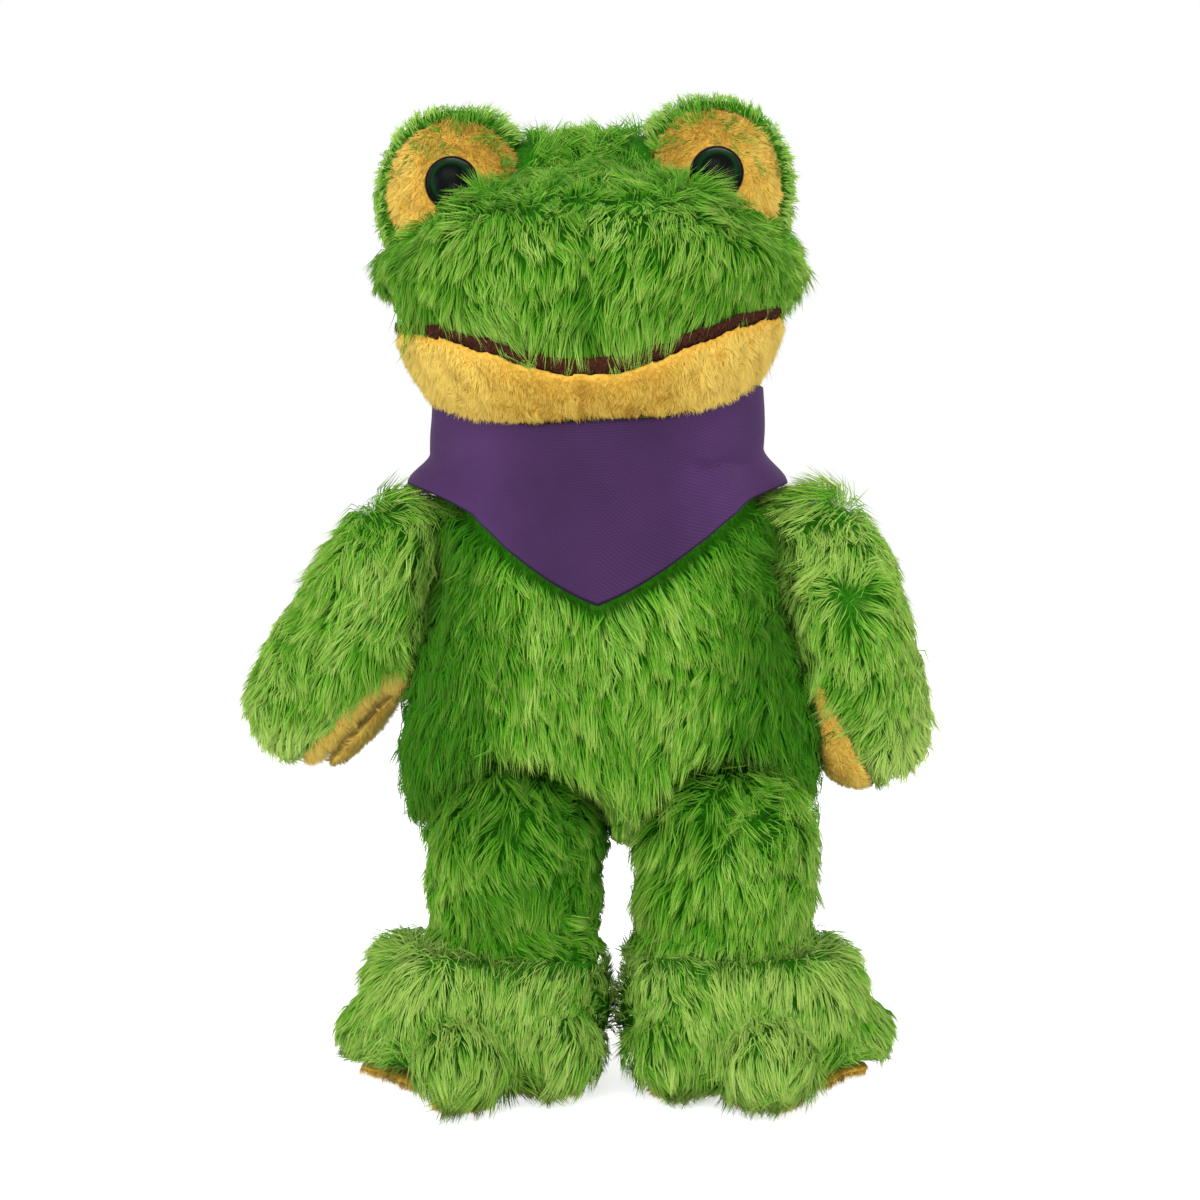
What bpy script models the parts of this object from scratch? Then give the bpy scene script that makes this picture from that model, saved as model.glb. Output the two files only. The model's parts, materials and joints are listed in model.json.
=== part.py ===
"""A long pile plush frog that stands on two wide, three toed feet.

The toy is sewn from pile fabric skins over wads of stuffing. Its head turns and nods on the
neck wad, its arms swing at the shoulders, its legs fold up at the hips so that it can sit, and
its feet rock at the ankles. Two safety eyes are locked behind their gold patches by toothed
washers, and a plain bandana is tied round the neck.

The toy faces -Y, +Z is up and the floor is z = 0. Its own left side is +X.
"""

import math

import bmesh
import bpy
from mathutils import Matrix, Vector
from mathutils.bvhtree import BVHTree

MM = 0.001

# Fabric and clearances
GREEN_WALL = 8.0 * MM  # backing cloth and the long green pile on it
GOLD_WALL = 5.0 * MM  # the short gold pile
CLOTH_WALL = 1.8 * MM  # the bandana, hem to hem
SEAM_GAP = 0.35 * MM  # between pieces that are sewn together
PACKING_GAP = 0.7 * MM  # between a skin and the stuffing in it
JOINT_GAP = 0.8 * MM  # between a limb's rounded end and its socket
CUTTER_OVERRUN = 20.0 * MM
WELD = 0.01 * MM  # points closer than this are one point

# Legs, from the floor up
SOLE_THICKNESS = 5.0 * MM
SOLE_FLAT = 0.5 * MM  # how much of the foot's underside the floor cuts flat
ANKLE_HEIGHT = 56.0 * MM
ANKLE_RADIUS = 36.0 * MM
HIP_HEIGHT = 95.0 * MM
HIP_RADIUS = 38.0 * MM
HIP_SPREAD = 43.0 * MM  # from the toy's middle to each hip
HIP_SETBACK = -8.0 * MM
HIP_SHIFT = 5.5 * MM  # the toy stands a little to its left
CALF_SWELL = 1.2 * MM
LEG_MOUTH_RADIUS = 20.0 * MM
ANKLE_FLARE = 7.0 * MM  # how far the foot's collar opens round the ankle

# Feet
FOOT_WIDTH = 103.0 * MM
FOOT_LENGTH = 98.0 * MM
FOOT_HEIGHT = 61.0 * MM
LEFT_FOOT_OUTSET = 6.5 * MM  # the foot's middle lies outside the ankle
RIGHT_FOOT_OUTSET = 12.5 * MM
FOOT_OUTSET = {"l": LEFT_FOOT_OUTSET, "r": RIGHT_FOOT_OUTSET}
FOOT_ADVANCE = 9.0 * MM  # and in front of it
TOE_LENGTH = 27.0 * MM
TOE_WIDTH = 23.0 * MM
TOE_HEIGHT = 20.0 * MM

# Torso
CROTCH_DROP = 3.0 * MM  # the torso's bottom below the hips
NECK_HEIGHT = 245.0 * MM
TORSO_WIDTH = 171.0 * MM
BELLY_FRONT = 68.0 * MM
TORSO_BACK = 60.0 * MM
TORSO_MOUTH_REACH = 25.0 * MM  # how far the torso's form goes on above the neck seam
THIGH_ROOM = 3.0 * MM  # room behind each thigh for the leg to swing back

# Neck
NECK_SHIFT = -3.0 * MM  # the neck stands a little to the toy's right
NECK_RADIUS = 72.0 * MM  # the dome that the head turns on
NECK_WAD_RADIUS = 52.0 * MM
NECK_PIVOT_DROP = 30.0 * MM

# Arms
ARM_LENGTH = 127.0 * MM
ARM_RADIUS = 33.0 * MM
SHOULDER_HEIGHT = 202.0 * MM
SHOULDER_SETBACK = -4.0 * MM
SHOULDER_OUTSET = 13.0 * MM  # the arm's middle line lies outside the torso's side
SIDE_SLOPE = math.radians(12.0)
SPLAY = {"l": math.radians(7.0), "r": math.radians(22.4)}
ARM_SWING = math.radians(6.0)
PALM_DEPTH = 6.0 * MM
PALM_SLANT = math.radians(9.0)

# Head
HEAD_LIFT = 13.0 * MM  # the chin above the neck seam
HEAD_SHIFT = -4.0 * MM  # the head's middle from the torso's
HEAD_ROLL = math.radians(2.2)
CRANIUM_WIDTH = 162.0 * MM
CRANIUM_HEIGHT = 118.0 * MM
CRANIUM_FRONT = 48.0 * MM
CRANIUM_BACK = 62.0 * MM
CRANIUM_RISE = 9.0 * MM  # the cranium's bottom above the chin
MUZZLE_WIDTH = 182.0 * MM
MUZZLE_HEIGHT = 91.0 * MM
MUZZLE_FRONT = 95.0 * MM
MUZZLE_BACK = 10.0 * MM
MUZZLE_RISE = 17.0 * MM
JAW_WIDTH = 162.0 * MM
JAW_HEIGHT = 76.0 * MM
JAW_FRONT = 80.0 * MM
JAW_BACK = 12.0 * MM
LINING_THICKNESS = 3.0 * MM
LINING_PROUD = 0.8 * MM

# Eye mounds and safety eyes
MOUND_SPREAD = 51.5 * MM
MOUND_WIDTH = 67.0 * MM
MOUND_HEIGHT = 72.0 * MM
MOUND_FRONT = 26.0 * MM
MOUND_BACK = 27.0 * MM
MOUND_SETBACK = -22.0 * MM
MOUND_RISE = 64.0 * MM  # a mound's bottom above the chin
PATCH_SEAM = 8.0 * MM  # the seam of patch and mound, in front of the mound's middle
EYE_RADIUS = 10.6 * MM
EYE_RISE = 98.0 * MM  # the eye's middle above the chin
EYE_SEAT = 47.0 * MM  # the eye's flange in front of the neck's middle
EYE_BULGE = 6.5 * MM
EYE_EDGE = 0.8 * MM
RIM_WIDTH = 0.7 * MM
RIM_HEIGHT = 1.4 * MM
FLANGE_THICKNESS = 1.6 * MM
SHANK_RADIUS = 2.6 * MM
SHANK_LENGTH = 15.0 * MM
RIB_HEIGHT = 0.45 * MM
RIB_COUNT = 4
WASHER_RADIUS = 8.0 * MM
WASHER_THICKNESS = 1.2 * MM
TOOTH_DEPTH = 1.5 * MM
TOOTH_COUNT = 8

# Bandana
COLLAR_RADIUS = 66.5 * MM
COLLAR_FLARE = 11.0 * MM  # the hem over the shoulders stands this much further out
COLLAR_LIFT = 18.0 * MM  # the upper edge above the neck seam, at the sides
COLLAR_BACK_FALL = 8.0 * MM  # and how much lower it lies behind
COLLAR_DIP = 3.0 * MM  # the upper edge below the neck seam, under the jaw
COLLAR_FRONT_TUCK = 11.0 * MM  # the collar lies this much closer in under the jaw
SHOULDER_HEM_DROP = 2.0 * MM
HEM_CURVE = 1.9  # the hem's fullness between tip and shoulder; 1 would be straight
FLAP_LENGTH = 54.0 * MM  # from the neck seam down to the tip
DRAPE_GAP = 1.2 * MM
KNOT_WIDTH = 22.0 * MM
KNOT_DEPTH = 12.0 * MM
KNOT_HEIGHT = 15.0 * MM
TAIL_LENGTH = 34.0 * MM
TAIL_WIDTH = 13.0 * MM
TAIL_SPREAD = math.radians(24.0)

# Ring sections, bottom to top, as shares of a form's height, half width, front and back
TORSO_SHARES = (
    (0.00, 0.68, 0.45, 0.57),
    (0.05, 0.94, 0.63, 0.81),
    (0.14, 1.02, 0.72, 0.94),
    (0.27, 1.01, 0.80, 1.00),
    (0.42, 0.925, 0.90, 0.97),
    (0.58, 0.835, 0.90, 0.90),
    (0.74, 0.765, 0.81, 0.84),
    (0.88, 0.715, 0.74, 0.79),
    (1.00, 0.60, 0.62, 0.68),
)
CRANIUM_SHARES = (
    (0.00, 0.55, 0.40, 0.55),
    (0.08, 0.80, 0.62, 0.80),
    (0.26, 0.96, 0.90, 0.97),
    (0.52, 1.01, 1.00, 1.02),
    (0.76, 0.86, 0.92, 0.88),
    (0.93, 0.52, 0.66, 0.56),
    (1.00, 0.26, 0.34, 0.26),
)
MUZZLE_SHARES = (
    (0.00, 0.14, 0.60, 0.5),
    (0.04, 0.34, 0.72, 0.7),
    (0.11, 0.52, 0.84, 0.8),
    (0.22, 0.69, 0.93, 0.9),
    (0.34, 0.84, 0.99, 1.0),
    (0.46, 0.97, 1.01, 1.0),
    (0.57, 1.01, 0.99, 1.0),
    (0.69, 0.84, 0.92, 1.0),
    (0.82, 0.58, 0.78, 1.0),
    (0.94, 0.28, 0.60, 0.9),
    (1.00, 0.10, 0.48, 0.6),
)
JAW_SHARES = (
    (0.00, 0.44, 0.60, 0.5),
    (0.07, 0.66, 0.80, 0.8),
    (0.22, 0.82, 0.93, 1.0),
    (0.46, 0.95, 1.00, 1.0),
    (0.70, 1.01, 0.95, 1.0),
    (0.88, 0.90, 0.74, 1.0),
    (1.00, 0.60, 0.45, 0.6),
)
MOUND_SHARES = (
    (0.00, 0.50, 0.50, 0.50),
    (0.14, 0.82, 0.84, 0.80),
    (0.38, 1.02, 1.03, 1.00),
    (0.64, 1.00, 0.98, 0.98),
    (0.86, 0.72, 0.68, 0.72),
    (1.00, 0.34, 0.30, 0.34),
)
FOOT_SHARES = (
    (0.00, 0.86, 0.86, 0.84),
    (0.14, 0.96, 0.97, 0.95),
    (0.42, 1.00, 1.00, 1.00),
    (0.70, 0.98, 0.94, 0.96),
    (0.90, 0.84, 0.80, 0.84),
    (1.00, 0.62, 0.60, 0.66),
)
ARM_SHARES = (
    (0.00, 0.42, 0.42, 0.42),
    (0.09, 0.76, 0.74, 0.74),
    (0.28, 0.90, 0.84, 0.84),
    (0.52, 0.92, 0.86, 0.86),
    (0.76, 1.02, 0.96, 0.96),
    (0.93, 0.78, 0.76, 0.76),
    (1.00, 0.38, 0.38, 0.38),
)
# Each toe's middle as shares of the foot's half width and length, and its heading in degrees
TOE_SHARES = (
    ("inner", -0.54, -0.62, -12.0),
    ("middle", 0.10, -1.00, 4.0),
    ("outer", 0.70, 0.00, 72.0),
)
PLUMPNESS = 2.3  # exponent of the soft ring sections; 2 would be an ellipse
# Where the collar rises at the sides and falls behind, from 0 in front to 1 behind the neck
ASIDE_SHARES = (0.20, 0.50)
BEHIND_SHARES = (0.55, 0.85)
BACK_FLARE_SHARE = 0.1

# Colours as red, green and blue
GREEN = (0.125, 0.300, 0.045)
GOLD = (0.620, 0.400, 0.075)
BROWN = (0.070, 0.020, 0.012)
PURPLE = (0.070, 0.028, 0.110)
WHITE_FIBRE = (0.800, 0.800, 0.780)
BLACK = (0.012, 0.012, 0.013)
EYE_GREEN = (0.010, 0.070, 0.018)
WASHER_GREY = (0.600, 0.600, 0.590)

SIDES = {"l": 1.0, "r": -1.0}
TORSO_BOTTOM = HIP_HEIGHT - CROTCH_DROP
NECK_PIVOT = Vector((NECK_SHIFT, 0.0, NECK_HEIGHT - NECK_PIVOT_DROP))
CORE_GROW = -GREEN_WALL - PACKING_GAP
CHIN_HEIGHT = NECK_HEIGHT + HEAD_LIFT


def clear_scene():
    for old in list(bpy.data.objects):
        bpy.data.objects.remove(old, do_unlink=True)


def new_collection(name):
    collection = bpy.data.collections.new(name)
    bpy.context.scene.collection.children.link(collection)
    return collection


def make_material(name, colour, roughness):
    material = bpy.data.materials.new(name)
    material.use_nodes = True
    shader = material.node_tree.nodes["Principled BSDF"]
    shader.inputs["Base Color"].default_value = (*colour, 1.0)
    shader.inputs["Roughness"].default_value = roughness
    shader.inputs["Metallic"].default_value = 0.0
    return material


clear_scene()
PARTS = new_collection("plush_frog")
CUTTERS = new_collection("frog_cutters")


def add_object(name, mesh, collection=None):
    """An object for a mesh; without a collection of its own it is a cutter or a guide."""
    obj = bpy.data.objects.new(name, mesh)
    (collection or CUTTERS).objects.link(obj)
    if collection is None:
        obj.hide_render = True
        obj.display_type = "WIRE"
    return obj


def mesh_from(bm, name, matrix=None):
    if matrix is not None:
        bmesh.ops.transform(bm, matrix=matrix, verts=bm.verts)
    bmesh.ops.recalc_face_normals(bm, faces=bm.faces)
    mesh = bpy.data.meshes.new(name)
    bm.to_mesh(mesh)
    bm.free()
    return mesh


def finish_part(obj, colour, roughness):
    """Gives a part its own material and smooth shading."""
    obj.data.materials.clear()
    obj.data.materials.append(make_material(obj.name, colour, roughness))
    obj.data.shade_smooth()
    return obj


def boolean(obj, other, operation="DIFFERENCE"):
    modifier = obj.modifiers.new(f"{operation.lower()} {other.name}", "BOOLEAN")
    modifier.operation = operation
    modifier.solver = "EXACT"
    modifier.object = other


def form(shares, height, half_width, front, back, bottom=0.0, centre=(0.0, 0.0)):
    """The sizes of a soft form: ring sections stacked along Z."""
    return {
        "shares": shares,
        "height": height,
        "half_width": half_width,
        "front": front,
        "back": back,
        "bottom": bottom,
        "centre": centre,
    }


def bent(value, power):
    return math.copysign(abs(value) ** power, value)


def soft_mesh(name, shape, sides, levels, grow=0.0, matrix=None):
    """A closed cage of rings; grow moves its whole surface outwards, or inwards if negative."""
    bm = bmesh.new()
    middle = shape["bottom"] + shape["height"] / 2
    stretch = (shape["height"] / 2 + grow) / (shape["height"] / 2)
    # Subdivision draws a ring in, so the cage is made that much wider
    fullness = 1.0
    if levels:
        fullness = 1.0 / (2 / 3 + math.cos(math.tau / sides) / 3)
    rings = []
    for share_up, share_wide, share_front, share_back in shape["shares"]:
        z = middle + (shape["bottom"] + shape["height"] * share_up - middle) * stretch
        wide = (shape["half_width"] + grow) * share_wide * fullness
        front = (shape["front"] + grow) * share_front * fullness
        back = (shape["back"] + grow) * share_back * fullness
        ring = []
        for step in range(sides):
            turn = math.tau * (step + 0.5) / sides
            across = bent(math.cos(turn), 2 / PLUMPNESS) * wide
            along = bent(math.sin(turn), 2 / PLUMPNESS)
            along *= back if along > 0 else front
            x, y = shape["centre"]
            ring.append(bm.verts.new((x + across, y + along, z)))
        rings.append(ring)
    for lower, upper in zip(rings, rings[1:]):
        for step in range(sides):
            after = (step + 1) % sides
            bm.faces.new((lower[step], lower[after], upper[after], upper[step]))
    bm.faces.new(reversed(rings[0]))
    bm.faces.new(rings[-1])
    if not levels:
        # A cavity and the stuffing in it get the same diagonals, so the stuffing stays clear
        bmesh.ops.triangulate(bm, faces=bm.faces, quad_method="FIXED")
    return mesh_from(bm, name, matrix)


def soft_form(name, shape, sides=10, levels=1, grow=0.0, matrix=None, collection=None):
    mesh = soft_mesh(name, shape, sides, levels, grow, matrix)
    obj = add_object(name, mesh, collection)
    if levels:
        smooth = obj.modifiers.new("stuffed", "SUBSURF")
        smooth.levels = levels
        smooth.render_levels = levels
    return obj


def turned(name, profile, steps, matrix=None, collection=None):
    """A turned solid: the profile runs down its outer side, and both its ends lie on the axis."""
    mesh = bpy.data.meshes.new(name)
    points = [(radius, 0.0, height) for radius, height in profile]
    edges = [(i, i + 1) for i in range(len(points) - 1)]
    mesh.from_pydata(points, edges, [])
    obj = add_object(name, mesh, collection)
    screw = obj.modifiers.new("turned", "SCREW")
    screw.steps = steps
    screw.render_steps = steps
    screw.use_merge_vertices = True
    screw.merge_threshold = WELD
    if matrix is not None:
        obj.matrix_world = matrix
    return obj


def arc(radius, height, start, end, count):
    """Profile points of an arc about a place on the axis; angles from straight up, in degrees."""
    points = []
    for step in range(count + 1):
        angle = math.radians(start + (end - start) * step / count)
        points.append((radius * math.sin(angle), height + radius * math.cos(angle)))
    return points


def ball(name, radius, centre, segments, rings):
    bm = bmesh.new()
    bmesh.ops.create_uvsphere(bm, u_segments=segments, v_segments=rings, radius=radius)
    return add_object(name, mesh_from(bm, name, Matrix.Translation(centre)))


def ellipsoid(name, half_sizes, matrix, segments=12, rings=7):
    bm = bmesh.new()
    bmesh.ops.create_uvsphere(bm, u_segments=segments, v_segments=rings, radius=1.0)
    bmesh.ops.scale(bm, vec=half_sizes, verts=bm.verts)
    return add_object(name, mesh_from(bm, name, matrix))


def block(name, low, high, matrix=None):
    """A box between two corners."""
    low, high = Vector(low), Vector(high)
    bm = bmesh.new()
    bmesh.ops.create_cube(bm, size=1.0)
    bmesh.ops.scale(bm, vec=high - low, verts=bm.verts)
    bmesh.ops.translate(bm, vec=(high + low) / 2, verts=bm.verts)
    return add_object(name, mesh_from(bm, name, matrix))


def rod(name, radius, front, back, matrix, segments=24):
    """A cylinder along the Z of the given frame, from front down to back."""
    bm = bmesh.new()
    bmesh.ops.create_cone(
        bm,
        cap_ends=True,
        segments=segments,
        radius1=radius,
        radius2=radius,
        depth=front - back,
    )
    bmesh.ops.translate(bm, vec=(0.0, 0.0, (front + back) / 2), verts=bm.verts)
    return add_object(name, mesh_from(bm, name, matrix))


def pivot(name, place, parent=None, tilt=0.0):
    """An empty on a joint's axis; tilt turns it about Y."""
    empty = bpy.data.objects.new(name, None)
    PARTS.objects.link(empty)
    empty.matrix_world = Matrix.Translation(place) @ Matrix.Rotation(tilt, 4, "Y")
    empty.empty_display_size = SHANK_LENGTH
    if parent is not None:
        carry(empty, parent)
    return empty


def carry(child, parent):
    """Parents without moving the child."""
    bpy.context.view_layer.update()
    place = child.matrix_world.copy()
    child.parent = parent
    child.matrix_parent_inverse = parent.matrix_world.inverted()
    child.matrix_world = place


def torso_shape():
    return form(
        TORSO_SHARES,
        NECK_HEIGHT + TORSO_MOUTH_REACH - TORSO_BOTTOM,
        TORSO_WIDTH / 2,
        BELLY_FRONT,
        TORSO_BACK,
        TORSO_BOTTOM,
    )


def hip_place(side):
    return Vector((SIDES[side] * HIP_SPREAD + HIP_SHIFT, HIP_SETBACK, HIP_HEIGHT))


def ankle_place(side):
    return Vector((SIDES[side] * HIP_SPREAD + HIP_SHIFT, HIP_SETBACK, ANKLE_HEIGHT))


def make_hip_cutters(side):
    """The room that a thigh needs in the torso, from standing to sitting."""
    hip = hip_place(side)
    room = HIP_RADIUS + JOINT_GAP
    reach = BELLY_FRONT + CUTTER_OVERRUN
    forwards = Matrix.Translation(hip) @ Matrix.Rotation(math.radians(90), 4, "X")
    profile = [(0.0, reach), (room, reach)] + arc(room, 0.0, 90, 180, 8)
    lap = turned(f"lap_cutter_{side}", profile, 28, forwards)
    inner = hip.x - SIDES[side] * (room - SEAM_GAP)
    outer = hip.x + SIDES[side] * (room + CUTTER_OVERRUN)
    low = (min(inner, outer), hip.y - reach, 0.0)
    high = (max(inner, outer), hip.y, hip.z + JOINT_GAP)
    under = block(f"thigh_cutter_{side}", low, high)
    stand = Matrix.Translation((hip.x, hip.y, 0.0))
    column = rod(f"leg_cutter_{side}", room + THIGH_ROOM, hip.z, 0.0, stand, 28)
    return [lap, under, column]


def make_torso(hip_cutters):
    shape = torso_shape()
    top = NECK_HEIGHT + TORSO_MOUTH_REACH + CUTTER_OVERRUN
    reach = TORSO_WIDTH
    neck_cut = block("neck_cutter", (-reach, -reach, NECK_HEIGHT), (reach, reach, top))
    cavity = soft_form("torso_cavity", shape, 14, 0, -GREEN_WALL)
    skin = soft_form("torso_skin", shape, 12, 1, collection=PARTS)
    boolean(skin, cavity)
    core = soft_form("torso_stuffing", shape, 14, 0, CORE_GROW, collection=PARTS)
    for cutter in [neck_cut, *hip_cutters]:
        boolean(skin, cutter)
        boolean(core, cutter)
    finish_part(skin, GREEN, 0.9)
    finish_part(core, WHITE_FIBRE, 0.95)
    return [skin, core]


def make_neck():
    """The firm wad between torso and head: a dome about the neck's pivot."""
    base = NECK_PIVOT_DROP + SEAM_GAP
    rim_angle = math.degrees(math.asin(NECK_WAD_RADIUS / NECK_RADIUS))
    profile = arc(NECK_RADIUS, 0.0, 0.0, rim_angle, 6)
    profile += [(NECK_WAD_RADIUS, base), (0.0, base)]
    place = Matrix.Translation(NECK_PIVOT)
    neck = turned("neck_stuffing", profile, 28, place, PARTS)
    return finish_part(neck, WHITE_FIBRE, 0.95)


def arm_frame(side, plane_reach):
    """The shoulder's frame: Z runs up the torso's side and X is the hinge's axis."""
    turn = Matrix.Rotation(-SIDES[side] * SIDE_SLOPE, 4, "Y")
    # The point of the tangent plane at the shoulder's height
    x = SIDES[side] * (plane_reach - SHOULDER_HEIGHT * math.sin(SIDE_SLOPE))
    place = Vector((x / math.cos(SIDE_SLOPE), SHOULDER_SETBACK, SHOULDER_HEIGHT))
    return Matrix.Translation(place) @ turn


def torso_side_reach():
    """How far the torso reaches along the shoulder hinge's axis, measured on its form."""
    guide = soft_form("torso_side_guide", torso_shape(), 12, 1)
    bpy.context.view_layer.update()
    graph = bpy.context.evaluated_depsgraph_get()
    mesh = guide.evaluated_get(graph).to_mesh()
    across, up = math.cos(SIDE_SLOPE), math.sin(SIDE_SLOPE)
    points = [vertex.co for vertex in mesh.vertices if vertex.co.z < NECK_HEIGHT]
    return max(point.x * across + point.z * up for point in points)


def make_arm(side, frame):
    sign = SIDES[side]
    shape = form(
        ARM_SHARES, ARM_LENGTH, ARM_RADIUS, ARM_RADIUS, ARM_RADIUS, ARM_RADIUS - ARM_LENGTH
    )
    # From the form's own axis to the shoulder's frame: splayed out, then swung forwards
    lean = Matrix.Rotation(-sign * SPLAY[side], 4, "Y")
    swing = Matrix.Rotation(ARM_SWING, 4, "X")
    axis = Matrix.Translation((sign * SHOULDER_OUTSET, 0.0, 0.0)) @ swing @ lean
    placed = frame @ axis
    far = ARM_LENGTH + CUTTER_OVERRUN
    low = (min(0.0, -sign * far), -far, -far)
    high = (max(0.0, -sign * far), far, far)
    flat = block(f"arm_side_cutter_{side}", low, high, frame)

    # The palm is sliced off the hand's inner side by a slanted plane
    slant = Matrix.Rotation(-sign * PALM_SLANT, 4, "Y")
    inner_side = SHOULDER_OUTSET + ARM_LENGTH * math.sin(SPLAY[side]) / 2
    knuckle_x = -sign * min(ARM_RADIUS, inner_side)
    knuckle = Vector((knuckle_x, 0.0, -ARM_LENGTH / 3))
    palm_frame = placed @ Matrix.Translation(knuckle) @ slant
    low = (min(-sign * far, sign * PALM_DEPTH), -far, -far)
    high = (max(-sign * far, sign * PALM_DEPTH), far, 0.0)
    keep = block(f"palm_keeper_{side}", low, high, palm_frame)
    low = (min(-sign * far, sign * (PALM_DEPTH + SEAM_GAP)), -far, -far)
    high = (max(-sign * far, sign * (PALM_DEPTH + SEAM_GAP)), far, SEAM_GAP)
    drop = block(f"palm_cutter_{side}", low, high, palm_frame)

    cavity = soft_form(f"arm_cavity_{side}", shape, 12, 0, -GREEN_WALL, placed)
    skin = soft_form(f"arm_skin_{side}", shape, 10, 1, matrix=placed, collection=PARTS)
    boolean(skin, cavity)
    boolean(skin, flat)
    boolean(skin, drop)
    palm = soft_form(f"palm_{side}", shape, 10, 1, matrix=placed, collection=PARTS)
    boolean(palm, keep, "INTERSECT")
    boolean(palm, cavity)
    boolean(palm, flat)
    core = soft_form(f"arm_stuffing_{side}", shape, 12, 0, CORE_GROW, placed, PARTS)
    boolean(core, flat)
    finish_part(skin, GREEN, 0.9)
    finish_part(palm, GOLD, 0.9)
    finish_part(core, WHITE_FIBRE, 0.95)
    return [skin, palm, core]


def make_leg(side):
    """A stuffed tube with rounded ends, open at the top where the thigh is filled."""
    drop = HIP_HEIGHT - ANKLE_HEIGHT
    wall = GREEN_WALL
    mouth_angle = math.degrees(math.asin(LEG_MOUTH_RADIUS / HIP_RADIUS))
    calf = ((HIP_RADIUS + ANKLE_RADIUS) / 2 + CALF_SWELL, -drop / 2)
    inner_calf = (calf[0] - wall, calf[1])
    outside = arc(HIP_RADIUS, 0.0, mouth_angle, 90, 4) + [calf]
    outside += arc(ANKLE_RADIUS, -drop, 90, 180, 6)
    hip_inside = HIP_RADIUS - wall
    inner_mouth_angle = math.degrees(math.asin(LEG_MOUTH_RADIUS / hip_inside))
    inside = arc(ANKLE_RADIUS - wall, -drop, 180, 90, 3) + [inner_calf]
    inside += arc(hip_inside, 0.0, 90, inner_mouth_angle, 2)
    place = Matrix.Translation(hip_place(side))
    skin = turned(f"leg_skin_{side}", inside + outside, 20, place, PARTS)

    core_hip = hip_inside - PACKING_GAP
    core_mouth = LEG_MOUTH_RADIUS - PACKING_GAP
    core_mouth_angle = math.degrees(math.asin(core_mouth / core_hip))
    core_top = HIP_RADIUS * math.cos(math.radians(mouth_angle)) - PACKING_GAP
    profile = [(0.0, core_top), (core_mouth, core_top)]
    profile += arc(core_hip, 0.0, core_mouth_angle, 90, 2)
    profile += [(calf[0] - wall - PACKING_GAP, calf[1])]
    profile += arc(ANKLE_RADIUS - wall - PACKING_GAP, -drop, 90, 180, 3)
    core = turned(f"leg_stuffing_{side}", profile, 20, place, PARTS)
    finish_part(skin, GREEN, 0.9)
    finish_part(core, WHITE_FIBRE, 0.95)
    return [skin, core]


def make_foot(side):
    """A wide foot with three toes on a flat sole, and a socket for the leg's rounded end."""
    sign = SIDES[side]
    ankle = ankle_place(side)
    middle = (ankle.x + sign * FOOT_OUTSET[side], ankle.y - FOOT_ADVANCE)
    half_length = FOOT_LENGTH / 2
    height = FOOT_HEIGHT + SOLE_FLAT
    shape = form(
        FOOT_SHARES, height, FOOT_WIDTH / 2, half_length, half_length, -SOLE_FLAT, middle
    )
    toes = []
    for name, share_across, share_along, heading in TOE_SHARES:
        x = middle[0] + sign * share_across * FOOT_WIDTH / 2
        y = middle[1] + share_along * half_length
        place = Matrix.Translation((x, y, TOE_HEIGHT - 2 * SOLE_FLAT))
        turn = Matrix.Rotation(sign * math.radians(heading), 4, "Z")
        sizes = (TOE_WIDTH, TOE_LENGTH, TOE_HEIGHT)
        toes.append(ellipsoid(f"{name}_toe_{side}", sizes, place @ turn))

    far = FOOT_WIDTH + FOOT_LENGTH
    low = (ankle.x - far, ankle.y - far, -far)
    high = (ankle.x + far, ankle.y + far, 0.0)
    floor = block(f"floor_cutter_{side}", low, high)
    high = (ankle.x + far, ankle.y + far, SOLE_THICKNESS)
    sole_slab = block(f"sole_keeper_{side}", low, high)
    high = (ankle.x + far, ankle.y + far, SOLE_THICKNESS + SEAM_GAP)
    above_sole = block(f"sole_cutter_{side}", low, high)

    room = ANKLE_RADIUS + JOINT_GAP
    open_top = FOOT_HEIGHT + CUTTER_OVERRUN - ANKLE_HEIGHT
    collar = arc(room, 0.0, 102, 180, 6)
    profile = [(0.0, open_top), (room + 2 * ANKLE_FLARE, open_top)]
    profile += [(room + ANKLE_FLARE, 0.0)] + collar
    socket = turned(f"ankle_cutter_{side}", profile, 26, Matrix.Translation(ankle))

    cavity = soft_form(f"foot_cavity_{side}", shape, 12, 0, -GREEN_WALL)
    skin = soft_form(f"foot_skin_{side}", shape, 12, 1, collection=PARTS)
    sole = soft_form(f"sole_{side}", shape, 12, 1, collection=PARTS)
    for toe in toes:
        boolean(skin, toe, "UNION")
        boolean(sole, toe, "UNION")
    for cutter in (above_sole, cavity, socket):
        boolean(skin, cutter)
    boolean(sole, sole_slab, "INTERSECT")
    boolean(sole, floor)
    core = soft_form(f"foot_stuffing_{side}", shape, 12, 0, CORE_GROW, collection=PARTS)
    boolean(core, above_sole)
    boolean(core, socket)
    finish_part(skin, GREEN, 0.9)
    finish_part(sole, GOLD, 0.9)
    finish_part(core, WHITE_FIBRE, 0.95)
    return [skin, sole, core]


def head_frame():
    """The head's forms are drawn upright about the neck's axis, then shifted and rolled."""
    about = Matrix.Translation(NECK_PIVOT)
    roll = about @ Matrix.Rotation(-HEAD_ROLL, 4, "Y") @ about.inverted()
    return roll @ Matrix.Translation((HEAD_SHIFT, 0.0, 0.0))


def cranium_shape():
    return form(
        CRANIUM_SHARES,
        CRANIUM_HEIGHT,
        CRANIUM_WIDTH / 2,
        CRANIUM_FRONT,
        CRANIUM_BACK,
        CHIN_HEIGHT + CRANIUM_RISE,
    )


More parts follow.
